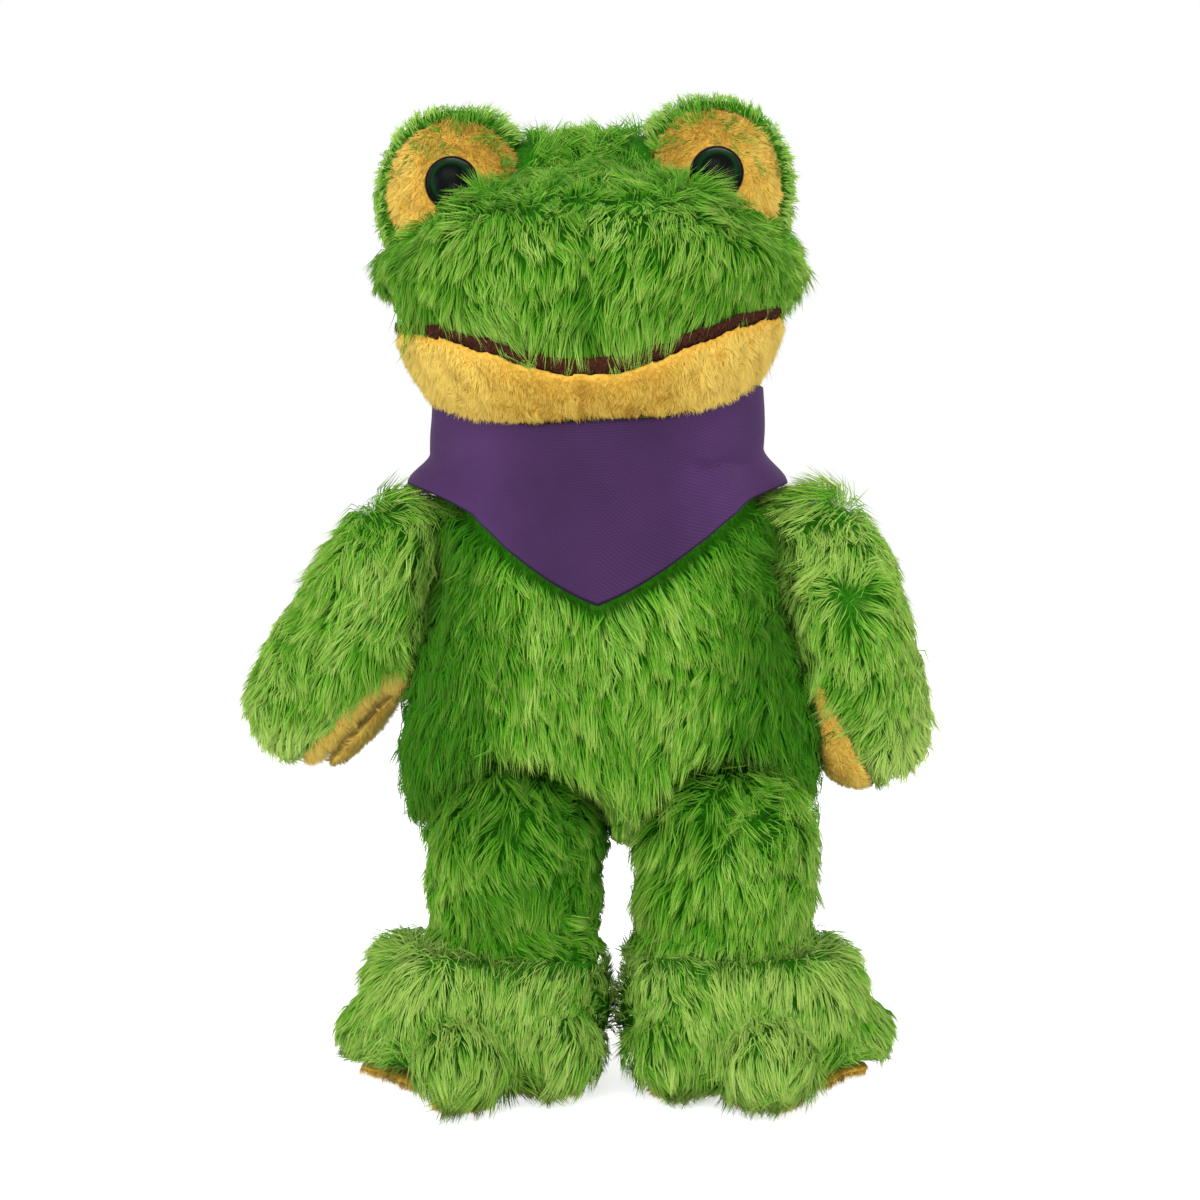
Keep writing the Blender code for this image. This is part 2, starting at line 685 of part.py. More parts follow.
def muzzle_shape():
    return form(
        MUZZLE_SHARES,
        MUZZLE_HEIGHT,
        MUZZLE_WIDTH / 2,
        MUZZLE_FRONT,
        MUZZLE_BACK,
        CHIN_HEIGHT + MUZZLE_RISE,
    )


def jaw_shape():
    return form(
        JAW_SHARES, JAW_HEIGHT, JAW_WIDTH / 2, JAW_FRONT, JAW_BACK, CHIN_HEIGHT
    )


def mound_shape(side):
    return form(
        MOUND_SHARES,
        MOUND_HEIGHT,
        MOUND_WIDTH / 2,
        MOUND_FRONT,
        MOUND_BACK,
        CHIN_HEIGHT + MOUND_RISE,
        (SIDES[side] * MOUND_SPREAD, MOUND_SETBACK),
    )


def eye_frame(side):
    """The eye's frame: Z looks forwards out of the face and z = 0 is the eye's seat."""
    place = Vector((SIDES[side] * MOUND_SPREAD, -EYE_SEAT, CHIN_HEIGHT + EYE_RISE))
    forwards = Matrix.Rotation(math.radians(90), 4, "X")
    return head_frame() @ Matrix.Translation(place) @ forwards


def make_eye(side):
    """A safety eye: a clear dome in a black cup whose ribbed shank takes a toothed washer."""
    frame = eye_frame(side)
    cup_inside = EYE_RADIUS - RIM_WIDTH
    dome_radius = cup_inside - SEAM_GAP
    lift = FLANGE_THICKNESS + SEAM_GAP
    # The dome is a cap of a larger sphere that stands on a short straight edge
    cap = (dome_radius**2 + EYE_BULGE**2) / (2 * EYE_BULGE)
    cap_angle = math.degrees(math.asin(dome_radius / cap))
    profile = arc(cap, lift + EYE_EDGE + EYE_BULGE - cap, 0.0, cap_angle, 4)
    profile += [(dome_radius, lift), (0.0, lift)]
    dome = turned(f"eye_dome_{side}", profile, 20, frame, PARTS)

    rim_top = FLANGE_THICKNESS + RIM_HEIGHT
    profile = [(0.0, FLANGE_THICKNESS), (cup_inside, FLANGE_THICKNESS)]
    profile += [(cup_inside, rim_top), (EYE_RADIUS, rim_top - RIM_WIDTH)]
    profile += [(EYE_RADIUS, 0.0), (SHANK_RADIUS, 0.0)]
    first_rib = GOLD_WALL + WASHER_THICKNESS
    pitch = (SHANK_LENGTH - first_rib - SHANK_RADIUS) / RIB_COUNT
    for rib in range(RIB_COUNT):
        top = -first_rib - pitch * rib
        profile += [(SHANK_RADIUS, top), (SHANK_RADIUS + RIB_HEIGHT, top - pitch / 4)]
        profile += [(SHANK_RADIUS, top - pitch * 3 / 4)]
    profile += [(SHANK_RADIUS, SHANK_RADIUS - SHANK_LENGTH)]
    profile += [(SHANK_RADIUS / 2, -SHANK_LENGTH), (0.0, -SHANK_LENGTH)]
    stem = turned(f"eye_stem_{side}", profile, 12, frame, PARTS)
    washer = make_washer(f"eye_washer_{side}", frame)
    finish_part(dome, EYE_GREEN, 0.05)
    finish_part(stem, BLACK, 0.25)
    finish_part(washer, WASHER_GREY, 0.4)
    return [dome, stem, washer]


def make_washer(name, frame):
    """A flat ring whose inner edge has teeth that grip the shank under a rib."""
    tip = SHANK_RADIUS + SEAM_GAP
    curve = bpy.data.curves.new(name, "CURVE")
    curve.dimensions = "2D"
    curve.fill_mode = "BOTH"
    curve.extrude = WASHER_THICKNESS / 2
    per_tooth = 4
    count = TOOTH_COUNT * per_tooth
    for is_hole in (False, True):
        spline = curve.splines.new("POLY")
        spline.points.add(count - 1)
        spline.use_cyclic_u = True
        for step in range(count):
            radius = WASHER_RADIUS
            if is_hole:
                radius = tip if step % per_tooth < 2 else tip + TOOTH_DEPTH
            angle = math.tau * step / count
            x, y = radius * math.cos(angle), radius * math.sin(angle)
            spline.points[step].co = (x, y, 0.0, 1.0)
    outline = bpy.data.objects.new(name, curve)
    CUTTERS.objects.link(outline)
    bpy.context.view_layer.update()
    graph = bpy.context.evaluated_depsgraph_get()
    mesh = bpy.data.meshes.new_from_object(outline.evaluated_get(graph))
    bpy.data.objects.remove(outline, do_unlink=True)
    bm = bmesh.new()
    bm.from_mesh(mesh)
    bmesh.ops.remove_doubles(bm, verts=bm.verts, dist=WELD)
    washer = add_object(name, mesh_from(bm, name), PARTS)
    behind = GOLD_WALL + SEAM_GAP + WASHER_THICKNESS / 2
    washer.matrix_world = frame @ Matrix.Translation((0.0, 0.0, -behind))
    return washer


def make_eye_cutters(side):
    """What an eye takes out of the patch, the head's skin and the stuffing."""
    frame = eye_frame(side)
    clear = EYE_RADIUS + SEAM_GAP
    seat = rod(f"eye_seat_cutter_{side}", clear, MUZZLE_FRONT, -SEAM_GAP, frame, 20)
    hole_radius = SHANK_RADIUS + RIB_HEIGHT + SEAM_GAP
    hole = rod(
        f"shank_cutter_{side}", hole_radius, EYE_RADIUS, -SHANK_LENGTH - SEAM_GAP, frame, 12
    )
    pocket_back = -GOLD_WALL - 2 * WASHER_THICKNESS - SEAM_GAP
    pocket = rod(
        f"washer_cutter_{side}",
        WASHER_RADIUS + SEAM_GAP,
        -GOLD_WALL,
        pocket_back,
        frame,
        16,
    )
    return {"seat": seat, "hole": hole, "pocket": pocket}


def make_mound(side, head_cutters, eye_cutters):
    frame = head_frame()
    shape = mound_shape(side)
    seam_y = MOUND_SETBACK - PATCH_SEAM
    far = MOUND_HEIGHT + CUTTER_OVERRUN
    x = SIDES[side] * MOUND_SPREAD
    low = (x - far, seam_y - far, CHIN_HEIGHT)
    high = (x + far, seam_y, CHIN_HEIGHT + MOUND_RISE + MOUND_HEIGHT + far)
    face = block(f"face_cutter_{side}", low, high, frame)
    low = (x - far, seam_y - SEAM_GAP, CHIN_HEIGHT)
    behind = block(f"behind_patch_cutter_{side}", low, (high[0], far, high[2]), frame)
    cavity = soft_form(f"mound_cavity_{side}", shape, 10, 0, -GREEN_WALL, frame)
    patch_cavity = soft_form(f"patch_cavity_{side}", shape, 10, 1, -GOLD_WALL, frame)

    skin = soft_form(f"eye_mound_{side}", shape, 9, 1, matrix=frame, collection=PARTS)
    boolean(skin, face)
    boolean(skin, cavity)
    patch = soft_form(f"eye_patch_{side}", shape, 9, 1, matrix=frame, collection=PARTS)
    boolean(patch, behind)
    boolean(patch, patch_cavity)
    for cutter in head_cutters:
        boolean(skin, cutter)
        boolean(patch, cutter)
    for cutter in eye_cutters.values():
        boolean(patch, cutter)
    finish_part(skin, GREEN, 0.9)
    finish_part(patch, GOLD, 0.9)
    return [skin, patch], cavity


def make_head():
    frame = head_frame()
    room = NECK_RADIUS + JOINT_GAP
    socket = ball("neck_socket_cutter", room, NECK_PIVOT, 36, 22)
    cranium, muzzle, jaw = cranium_shape(), muzzle_shape(), jaw_shape()
    near_cranium = soft_form("cranium_clear", cranium, 10, 1, SEAM_GAP, frame)
    near_muzzle = soft_form("muzzle_clear", muzzle, 12, 1, SEAM_GAP, frame)
    lining_grow = SEAM_GAP + LINING_THICKNESS
    under_lining = soft_form("under_lining", muzzle, 12, 1, lining_grow + SEAM_GAP, frame)
    muzzle_form = soft_form("muzzle_form", muzzle, 12, 1, 0.0, frame)
    cranium_cavity = soft_form("cranium_cavity", cranium, 12, 0, -GREEN_WALL, frame)
    muzzle_cavity = soft_form("muzzle_cavity", muzzle, 12, 0, -GREEN_WALL, frame)

    skin = soft_form("head_skin", cranium, 10, 1, 0.0, frame, PARTS)
    boolean(skin, muzzle_form, "UNION")
    boolean(skin, cranium_cavity)
    boolean(skin, muzzle_cavity)
    muzzle_core = soft_form("muzzle_core", muzzle, 12, 0, CORE_GROW, frame)
    core = soft_form("head_stuffing", cranium, 12, 0, CORE_GROW, frame, PARTS)
    boolean(core, muzzle_core, "UNION")
    pieces = [skin, core]
    for side in SIDES:
        eye_cutters = make_eye_cutters(side)
        made, mound_cavity = make_mound(side, [near_cranium, near_muzzle], eye_cutters)
        pieces += made
        pieces += make_eye(side)
        boolean(skin, mound_cavity)
        shape = mound_shape(side)
        mound_core = soft_form(f"mound_core_{side}", shape, 10, 0, CORE_GROW, frame)
        boolean(core, mound_core, "UNION")
        for cutter in eye_cutters.values():
            boolean(skin, cutter)
            boolean(core, cutter)
    boolean(skin, socket)
    boolean(core, socket)

    jaw_cavity = soft_form("jaw_cavity", jaw, 12, 0, -GOLD_WALL, frame)
    jaw_skin = soft_form("jaw_skin", jaw, 12, 1, 0.0, frame, PARTS)
    boolean(jaw_skin, jaw_cavity)
    jaw_grow = -GOLD_WALL - PACKING_GAP
    jaw_core = soft_form("jaw_stuffing", jaw, 12, 0, jaw_grow, frame, PARTS)
    for cutter in (under_lining, near_cranium, socket):
        boolean(jaw_skin, cutter)
        boolean(jaw_core, cutter)
    proud_jaw = soft_form("proud_jaw", jaw, 12, 1, LINING_PROUD, frame)
    lining = soft_form("mouth_lining", muzzle, 12, 1, lining_grow, frame, PARTS)
    boolean(lining, near_muzzle)
    boolean(lining, proud_jaw, "INTERSECT")
    boolean(lining, near_cranium)
    boolean(lining, socket)
    finish_part(skin, GREEN, 0.9)
    finish_part(core, WHITE_FIBRE, 0.95)
    finish_part(jaw_skin, GOLD, 0.9)
    finish_part(jaw_core, WHITE_FIBRE, 0.95)
    finish_part(lining, BROWN, 0.9)
    return pieces + [jaw_skin, jaw_core, lining]


def eased(value, limits):
    """0 before the first limit, 1 after the second and a smooth rise between."""
    share = (value - limits[0]) / (limits[1] - limits[0])
    share = min(max(share, 0.0), 1.0)
    return share * share * (3.0 - 2.0 * share)


def make_bandana():
    """A cloth wound round the neck: its point hangs on the chest and it is tied behind."""
    guide = soft_form("drape_guide", torso_shape(), 24, 2)
    bpy.context.view_layer.update()
    tree = BVHTree.FromObject(guide, bpy.context.evaluated_depsgraph_get())
    columns, rows = 40, 5
    bm = bmesh.new()
    grid = []
    for column in range(columns):
        turn = math.tau * column / columns
        outwards = Vector((math.sin(turn), -math.cos(turn), 0.0))
        from_front = min(turn, math.tau - turn) / math.pi
        aside = eased(from_front, ASIDE_SHARES)
        behind = eased(from_front, BEHIND_SHARES)
        top = NECK_HEIGHT - COLLAR_DIP + (COLLAR_LIFT + COLLAR_DIP) * aside
        top -= COLLAR_BACK_FALL * behind
        across = abs(outwards.x) if from_front < 0.5 else 1.0
        hem = NECK_HEIGHT - SHOULDER_HEM_DROP
        hem -= (FLAP_LENGTH - SHOULDER_HEM_DROP) * (1.0 - across**HEM_CURVE)
        flare = COLLAR_FLARE * aside * (1.0 - (1.0 - BACK_FLARE_SHARE) * behind)
        line = []
        for row in range(rows):
            share = row / (rows - 1)
            z = top + (hem - top) * share
            middle = Vector((NECK_SHIFT, 0.0, z))
            hit = tree.ray_cast(middle + outwards * TORSO_WIDTH, -outwards)[0]
            body = (hit - middle).length if hit else 0.0
            collar = COLLAR_RADIUS - COLLAR_FRONT_TUCK * (1.0 - aside)
            radius = max(body + DRAPE_GAP, collar + flare * share**3)
            line.append(bm.verts.new(middle + outwards * radius))
        grid.append(line)
    for column in range(columns):
        here, after = grid[column], grid[(column + 1) % columns]
        for row in range(rows - 1):
            bm.faces.new((here[row], after[row], after[row + 1], here[row + 1]))
    mesh = mesh_from(bm, "bandana")
    cloth = add_object("bandana", mesh, PARTS)
    thick = cloth.modifiers.new("cloth", "SOLIDIFY")
    thick.thickness = CLOTH_WALL
    thick.offset = 1.0
    finish_part(cloth, PURPLE, 0.8)
    return [cloth, make_knot()]


def make_knot():
    """The knot behind the neck, with its two short tails."""
    seat = COLLAR_RADIUS + CLOTH_WALL + 2 * SEAM_GAP
    middle = Vector((NECK_SHIFT, seat + KNOT_DEPTH / 2, NECK_HEIGHT + COLLAR_LIFT / 3))
    sizes = (KNOT_WIDTH / 2, KNOT_DEPTH / 2, KNOT_HEIGHT / 2)
    lump = ellipsoid("knot_form", sizes, Matrix.Translation(middle), 12, 8)
    mesh = lump.data.copy()
    knot = add_object("bandana_knot", mesh, PARTS)
    for sign in (-1.0, 1.0):
        frame = Matrix.Translation(middle) @ Matrix.Rotation(-sign * TAIL_SPREAD, 4, "Y")
        low = (-TAIL_WIDTH / 2, -CLOTH_WALL / 2, -TAIL_LENGTH)
        high = (TAIL_WIDTH / 2, CLOTH_WALL / 2, 0.0)
        tail = block(f"tail_form_{'l' if sign > 0 else 'r'}", low, high, frame)
        boolean(knot, tail, "UNION")
    return finish_part(knot, PURPLE, 0.8)


def centre_on_floor(root):
    """Moves the toy so that the middle of its outline in plan stands on the origin."""
    bpy.context.view_layer.update()
    graph = bpy.context.evaluated_depsgraph_get()
    xs, ys = [], []
    for obj in PARTS.objects:
        if obj.type != "MESH":
            continue
        shown = obj.evaluated_get(graph)
        mesh = shown.to_mesh()
        for vertex in mesh.vertices:
            place = shown.matrix_world @ vertex.co
            xs.append(place.x)
            ys.append(place.y)
        shown.to_mesh_clear()
    root.location.x -= (min(xs) + max(xs)) / 2
    root.location.y -= (min(ys) + max(ys)) / 2
    bpy.context.view_layer.update()


def main():
    root = pivot("frog_root", (0.0, 0.0, 0.0))
    reach = torso_side_reach() + SEAM_GAP
    hips = make_hip_cutters("l") + make_hip_cutters("r")
    groups = [(root, make_torso(hips) + make_bandana())]

    turn = pivot("neck_turn_pivot", NECK_PIVOT, root)
    nod = pivot("neck_nod_pivot", NECK_PIVOT, turn)
    groups.append((turn, [make_neck()]))
    groups.append((nod, make_head()))
    for side in SIDES:
        frame = arm_frame(side, reach)
        shoulder = pivot(
            f"shoulder_pivot_{side}", frame.translation, root, -SIDES[side] * SIDE_SLOPE
        )
        groups.append((shoulder, make_arm(side, frame)))
        hip = pivot(f"hip_pivot_{side}", hip_place(side), root)
        groups.append((hip, make_leg(side)))
        ankle = pivot(f"ankle_pivot_{side}", ankle_place(side), hip)
        groups.append((ankle, make_foot(side)))
    for parent, pieces in groups:
        for piece in pieces:
            carry(piece, parent)
    for cutter in list(CUTTERS.objects):
        carry(cutter, root)
    centre_on_floor(root)


main()
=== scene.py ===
# %% [markdown]
# # A long pile plush frog, dressed around its solids
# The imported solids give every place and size. They are the outside of the toy's fur, so each
# piece here starts from a solid, is drawn in by the depth of its pile, and then grows that pile
# back as real strands. A strand is a mesh, because strands made as particles are lost on export.

import json
import math
from functools import partial

import bmesh
import bpy
import numpy as np
from mathutils import Matrix, Vector
from mathutils.bvhtree import BVHTree
from mathutils.kdtree import KDTree


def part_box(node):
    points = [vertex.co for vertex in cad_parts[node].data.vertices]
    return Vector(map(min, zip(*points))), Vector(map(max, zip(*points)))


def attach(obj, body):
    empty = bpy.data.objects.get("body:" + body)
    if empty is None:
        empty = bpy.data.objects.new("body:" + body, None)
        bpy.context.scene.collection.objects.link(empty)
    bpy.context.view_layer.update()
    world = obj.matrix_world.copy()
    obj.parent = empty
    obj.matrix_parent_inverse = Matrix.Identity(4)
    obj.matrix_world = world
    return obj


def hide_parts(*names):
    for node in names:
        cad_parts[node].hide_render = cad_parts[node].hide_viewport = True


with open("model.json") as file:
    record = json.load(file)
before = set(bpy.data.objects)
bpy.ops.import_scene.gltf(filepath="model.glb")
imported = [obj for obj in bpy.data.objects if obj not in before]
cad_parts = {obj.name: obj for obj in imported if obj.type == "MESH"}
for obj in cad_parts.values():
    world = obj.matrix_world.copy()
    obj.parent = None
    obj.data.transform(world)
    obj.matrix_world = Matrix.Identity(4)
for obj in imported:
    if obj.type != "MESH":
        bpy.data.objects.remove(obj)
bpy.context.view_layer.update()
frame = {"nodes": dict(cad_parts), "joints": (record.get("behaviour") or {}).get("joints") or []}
MM = 0.001
WELD = 0.01 * MM


# %% [markdown]
# ## The camera
# The photograph was taken level with the toy's chest from three quarters of a metre away. The
# focal length follows from how much smaller the back of the toy looks than its front.

# %% Place the camera
CAMERA_PLACE = Vector((4.9 * MM, -750.0 * MM, 192.0 * MM))
CAMERA_LENS = 54.7  # in millimetres, on a sensor 36 mm wide

camera_data = bpy.data.cameras.new("photo_camera")
camera_data.lens = CAMERA_LENS
camera_data.sensor_width = 36.0
camera_data.clip_start = 0.01
camera = bpy.data.objects.new("photo_camera", camera_data)
bpy.context.scene.collection.objects.link(camera)
camera.location = CAMERA_PLACE
camera.rotation_euler = (math.radians(90.0), 0.0, 0.0)
bpy.context.scene.camera = camera
bpy.context.scene.view_settings.view_transform = "Standard"
print("camera looks along", camera.matrix_world.to_quaternion() @ Vector((0.0, 0.0, -1.0)))


# %% [markdown]
# ## Small tools
# Everything below is made from a few helpers: one that puts a finished mesh in the scene, one
# that settles modifiers into it, and one that reads a mesh as arrays of numbers.

# %% Helpers for meshes
def add_piece(name, mesh):
    """An object at the origin whose place is in its mesh."""
    obj = bpy.data.objects.new(name, mesh)
    bpy.context.scene.collection.objects.link(obj)
    return obj


def mesh_of(bm, name):
    mesh = bpy.data.meshes.new(name)
    bm.to_mesh(mesh)
    bm.free()
    return mesh


def settle(obj):
    """Applies all modifiers."""
    bpy.context.view_layer.update()
    graph = bpy.context.evaluated_depsgraph_get()
    mesh = bpy.data.meshes.new_from_object(obj.evaluated_get(graph))
    obj.modifiers.clear()
    obj.data = mesh
    return obj


def rows_of(items, label, kind=float):
    values = np.zeros(len(items) * 3, kind)
    items.foreach_get(label, values)
    return values.reshape(-1, 3)


def arrays_of(mesh):
    """Vertices, triangles and vertex normals of a mesh."""
    mesh.calc_loop_triangles()
    triangles = rows_of(mesh.loop_triangles, "vertices", int)
    return rows_of(mesh.vertices, "co"), triangles, rows_of(mesh.vertices, "normal")


def unit(vectors):
    return vectors / np.maximum(np.linalg.norm(vectors, axis=-1, keepdims=True), 1e-12)


def smooth_step(values, low, high):
    share = np.clip((values - low) / (high - low), 0.0, 1.0)
    return share * share * (3.0 - 2.0 * share)


def past(values, low, high):
    """0 up to a place and 1 from another on, which are given in millimetres."""
    return smooth_step(values, low * MM, high * MM)


def waves(points, length, seed):
    """A smooth wandering vector at each point: a few waves of some millimetres, summed."""
    rng = np.random.default_rng(seed)
    total = np.zeros_like(points)
    for _ in range(5):
        heading = unit(rng.normal(size=3)) * math.tau / (length * MM) * rng.uniform(0.6, 1.5)
        phase = rng.uniform(0.0, math.tau, 3)
        total += np.sin((points @ heading)[:, None] + phase)
    return total / 2.2


# %% [markdown]
# ## Materials
# Long pile is dark and rich at its roots and pale at its tips. The dark roots are partly painted
# shade deep in the pile, and the pale tips partly painted light where they catch it and partly
# brushed. Each strand carries two numbers: how far along it a point is, and its tone, which is
# partly random and partly painted light and shade from the combs. The materials turn these into
# colour.

# %% Material helpers
def add_node(tree, kind, inputs=(), **settings):
    """A shader node, each of whose inputs is linked to an output or set to a value."""
    node = tree.nodes.new("ShaderNode" + kind)
    for label, value in settings.items():
        setattr(node, label, value)
    for label, value in dict(inputs).items():
        socket = node.inputs[label]
        if isinstance(value, bpy.types.NodeSocket):
            tree.links.new(value, socket)
        else:
            socket.default_value = (*value, 1.0) if socket.type == "RGBA" else value
    return node


def output_of(tree, kind, inputs=(), output=0, **settings):
    return add_node(tree, kind, inputs, **settings).outputs[output]


def new_material(name, roughness, specular=0.5):
    """A material, its nodes and the inputs of its shader."""
    material = bpy.data.materials.new(name)
    material.use_nodes = True
    shader = material.node_tree.nodes["Principled BSDF"].inputs
    shader["Roughness"].default_value = roughness
    shader["Specular IOR Level"].default_value = specular
    return material, material.node_tree, shader


def ramped(tree, value, stops, interpolation="LINEAR"):
    """A value from 0 to 1 turned into a colour, or into a grey where a stop is one number."""
    ramp = add_node(tree, "ValToRGB", {"Fac": value})
    ramp.color_ramp.interpolation = interpolation
    elements = ramp.color_ramp.elements
    while len(elements) < len(stops):
        elements.new(1.0)
    for element, (position, colour) in zip(elements, stops):
        element.position = position
        element.color = (*(colour if isinstance(colour, tuple) else [colour] * 3), 1.0)
    return ramp.outputs["Color"]


def noise_at(tree, scale, detail=2.0):
    """Noise on Object coordinates; scale is in bumps to the metre."""
    place = output_of(tree, "TexCoord", output="Object")
    return output_of(tree, "TexNoise", {"Vector": place, "Scale": scale, "Detail": detail}, "Fac")


def mixed(tree, factor, first, second, blend="MIX"):
    inputs = {"Factor": factor, 6: first, 7: second}
    return output_of(tree, "Mix", inputs, 2, data_type="RGBA", blend_type=blend)


def add_bump(tree, shader, height, strength, distance):
    inputs = {"Height": height, "Strength": strength, "Distance": distance}
    tree.links.new(output_of(tree, "Bump", inputs), shader["Normal"])


def add_sheen(shader, weight, roughness, tint):
    shader["Sheen Weight"].default_value = weight
    shader["Sheen Roughness"].default_value = roughness
    shader["Sheen Tint"].default_value = (*tint, 1.0)


PALER_TONES = ((0.5, 0.0), (1.0, 0.65))
RICHER_TONES = ((0.0, 0.85), (0.5, 0.0))


def pile_material(name, stops, pale, rich, sheen_tint):
    """Fur: root to tip colours, moved towards a pale or a rich colour by the strand's tone."""
    material, tree, shader = new_material(name, roughness=0.7, specular=0.06)
    along, tone = (
        output_of(tree, "Attribute", output="Fac", attribute_name=label)
        for label in ("along", "tone")
    )
    colour = mixed(tree, ramped(tree, tone, PALER_TONES), ramped(tree, along, stops), pale)
    colour = mixed(tree, ramped(tree, tone, RICHER_TONES), colour, rich)
    tree.links.new(colour, shader["Base Color"])
    add_sheen(shader, weight=0.12, roughness=0.4, tint=sheen_tint)
    return material


def speckled(name, dark, light, scale, roughness, specular=0.5, bump=0.0):
    """A plain material whose colour wanders between a dark and a light one."""
    material, tree, shader = new_material(name, roughness, specular)
    noise = noise_at(tree, scale)
    tree.links.new(ramped(tree, noise, ((0.3, dark), (0.7, light))), shader["Base Color"])
    if bump:
        add_bump(tree, shader, noise, strength=bump, distance=0.6 * MM)
    return material


# %% Make the fur and backing materials
# Root to tip: the dark roots are partly painted shade deep in the pile, the pale tips partly
# painted light
GREEN_STOPS = (
    (0.0, (0.008, 0.108, 0.0006)), (0.30, (0.038, 0.232, 0.003)),
    (0.62, (0.142, 0.385, 0.024)), (1.0, (0.410, 0.620, 0.108)),
)
GOLD_STOPS = (
    (0.0, (0.500, 0.260, 0.028)), (0.5, (0.780, 0.500, 0.075)), (1.0, (0.930, 0.680, 0.160)),
)
BROWN_STOPS = ((0.0, (0.030, 0.008, 0.006)), (1.0, (0.130, 0.045, 0.022)))
GREEN_PILE = pile_material(
    "green_long_pile", GREEN_STOPS, (0.520, 0.690, 0.170), (0.024, 0.150, 0.003), (0.5, 0.8, 0.2)
)
GOLD_PILE = pile_material(
    "gold_short_pile", GOLD_STOPS, (1.000, 0.740, 0.170), (0.420, 0.230, 0.030), (1.0, 0.8, 0.4)
)
BROWN_PILE = pile_material(
    "brown_lip_pile", BROWN_STOPS, (0.160, 0.060, 0.030), (0.030, 0.008, 0.006), (0.6, 0.3, 0.2)
)
# The backings are as dark as the pile's roots: partly their own colour, partly painted shade where
# the skin shows between strands
GREEN_BACKING, GOLD_BACKING, BROWN_BACKING = (
    speckled(name, dark, light, scale=600.0, roughness=0.95, specular=0.1, bump=0.6)
    for name, dark, light in (
        ("green_backing", (0.009, 0.092, 0.001), (0.028, 0.165, 0.003)),
        ("gold_backing", (0.520, 0.270, 0.030), (0.760, 0.470, 0.075)),
        ("brown_backing", (0.022, 0.006, 0.004), (0.070, 0.022, 0.012)),
    )
)
print("pile materials:", GREEN_PILE.name, GOLD_PILE.name, BROWN_PILE.name)


# %% [markdown]
# ## Stuffed skins
# A stuffed skin is one closed soft form. The solids hold the skin and its filling apart, so the
# two are joined and voxel remeshed into one closed form, which also rounds the facets off. Where
# the form is out in the open it is drawn in, to leave room for its pile. Where it lies against
# its neighbour, in a seam or a joint, it keeps its place.

# %% Make a stuffed skin from solids
SEAM_NEAR, SEAM_FAR = 1.5 * MM, 9.0 * MM
HIDDEN_NODES = [name for name in frame["nodes"] if "stuffing" in name or "washer" in name]


def tree_of(meshes):
    """A search tree over the surfaces of some meshes."""
    points, triangles = [], []
    for mesh in meshes:
        here, faces, _ = arrays_of(mesh)
        triangles.append(faces + sum(len(part) for part in points))
        points.append(here)
    return BVHTree.FromPolygons(
        np.concatenate(points).tolist(), np.concatenate(triangles).tolist()
    )


def solids_tree(names):
    return tree_of([frame["nodes"][name].data for name in names])


def distances(tree, points, limit=30.0 * MM):
    found = np.full(len(points), limit)
    for index, point in enumerate(points.tolist()):
        distance = tree.find_nearest(point, limit)[3]
        if distance is not None:
            found[index] = distance
    return found


def soft_form(name, nodes, voxel, smoothing):
    """One closed form round CAD nodes, with its facets rounded off."""
    bm = bmesh.new()
    for node in nodes:
        bm.from_mesh(frame["nodes"][node].data)
    bmesh.ops.remove_doubles(bm, verts=bm.verts, dist=WELD)
    obj = add_piece(name, mesh_of(bm, name))
    remesh = obj.modifiers.new("one form", "REMESH")
    remesh.mode = "VOXEL"
    remesh.voxel_size = voxel
    settle(obj)
    soften = obj.modifiers.new("soften", "SMOOTH")
    soften.iterations = smoothing
    return settle(obj)


def stuffed_skin(name, nodes, inset, ignore, voxel, smoothing):
    """A soft form, and its openness: from 0 in a seam to 1 in the open."""
    obj = soft_form(f"{name}_skin_form", nodes, voxel, smoothing)
    points, _, normals = arrays_of(obj.data)
    others = [
        node
        for node in frame["nodes"]
        if node not in (*nodes, *ignore, *HIDDEN_NODES, "bandana")
    ]
    openness = smooth_step(distances(solids_tree(others), points), SEAM_NEAR, SEAM_FAR)
    points = points - normals * (inset * openness)[:, None]
    obj.data.vertices.foreach_set("co", points.ravel())
    obj.data.update()
    obj.data.shade_smooth()
    return obj, openness


def dress(obj, material, slot_name, body, *replaced, fill=0.0):
    """Gives a finished piece its material and its body, and hides the solids that it stands for."""
    obj.data.materials.clear()
    obj.data.materials.append(material)
    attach(obj, body)
    if replaced:
        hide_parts(*replaced)


# %% [markdown]
# ## Strands
# One strand is a three sided sliver, thickest at its bend. It is modelled once with bmesh
# and then repeated along thousands of paths. The path leaves the skin, leans over the way that
# the pile is combed and sags. Neighbours share a lock: their tips are drawn towards one path,
# which gives fur its pointed tufts and dark partings.

# %% Model one strand
def strand_template(bend):
    """A closed sliver from z = 0 to z = 1, three sided and thickest at the bend."""
    bm = bmesh.new()
    bmesh.ops.create_cone(
        bm, cap_ends=True, segments=3, radius1=1.0, radius2=0.0, depth=1.0 - bend
    )
    bmesh.ops.translate(bm, vec=(0.0, 0.0, (1.0 + bend) / 2), verts=bm.verts)
    if bend:
        base = [face for face in bm.faces if face.calc_center_median().z < bend + WELD]
        root = bmesh.ops.poke(bm, faces=base)["verts"]
        bmesh.ops.translate(bm, vec=(0.0, 0.0, -bend), verts=root)
    bmesh.ops.remove_doubles(bm, verts=bm.verts, dist=WELD)
    bmesh.ops.triangulate(bm, faces=bm.faces)
    bmesh.ops.recalc_face_normals(bm, faces=bm.faces)
    mesh = mesh_of(bm, "strand")
    points, triangles, _ = arrays_of(mesh)
    bpy.data.meshes.remove(mesh)
    return points, triangles


BEND = 0.42
LONG_STRAND = strand_template(BEND)
SHORT_STRAND = strand_template(0.0)
print("faces in a long strand:", len(LONG_STRAND[1]), "and in a short one:", len(SHORT_STRAND[1]))


# %% Choose where strands root
SHUT_SEAM = 0.03  # less open than this, a skin grows nothing


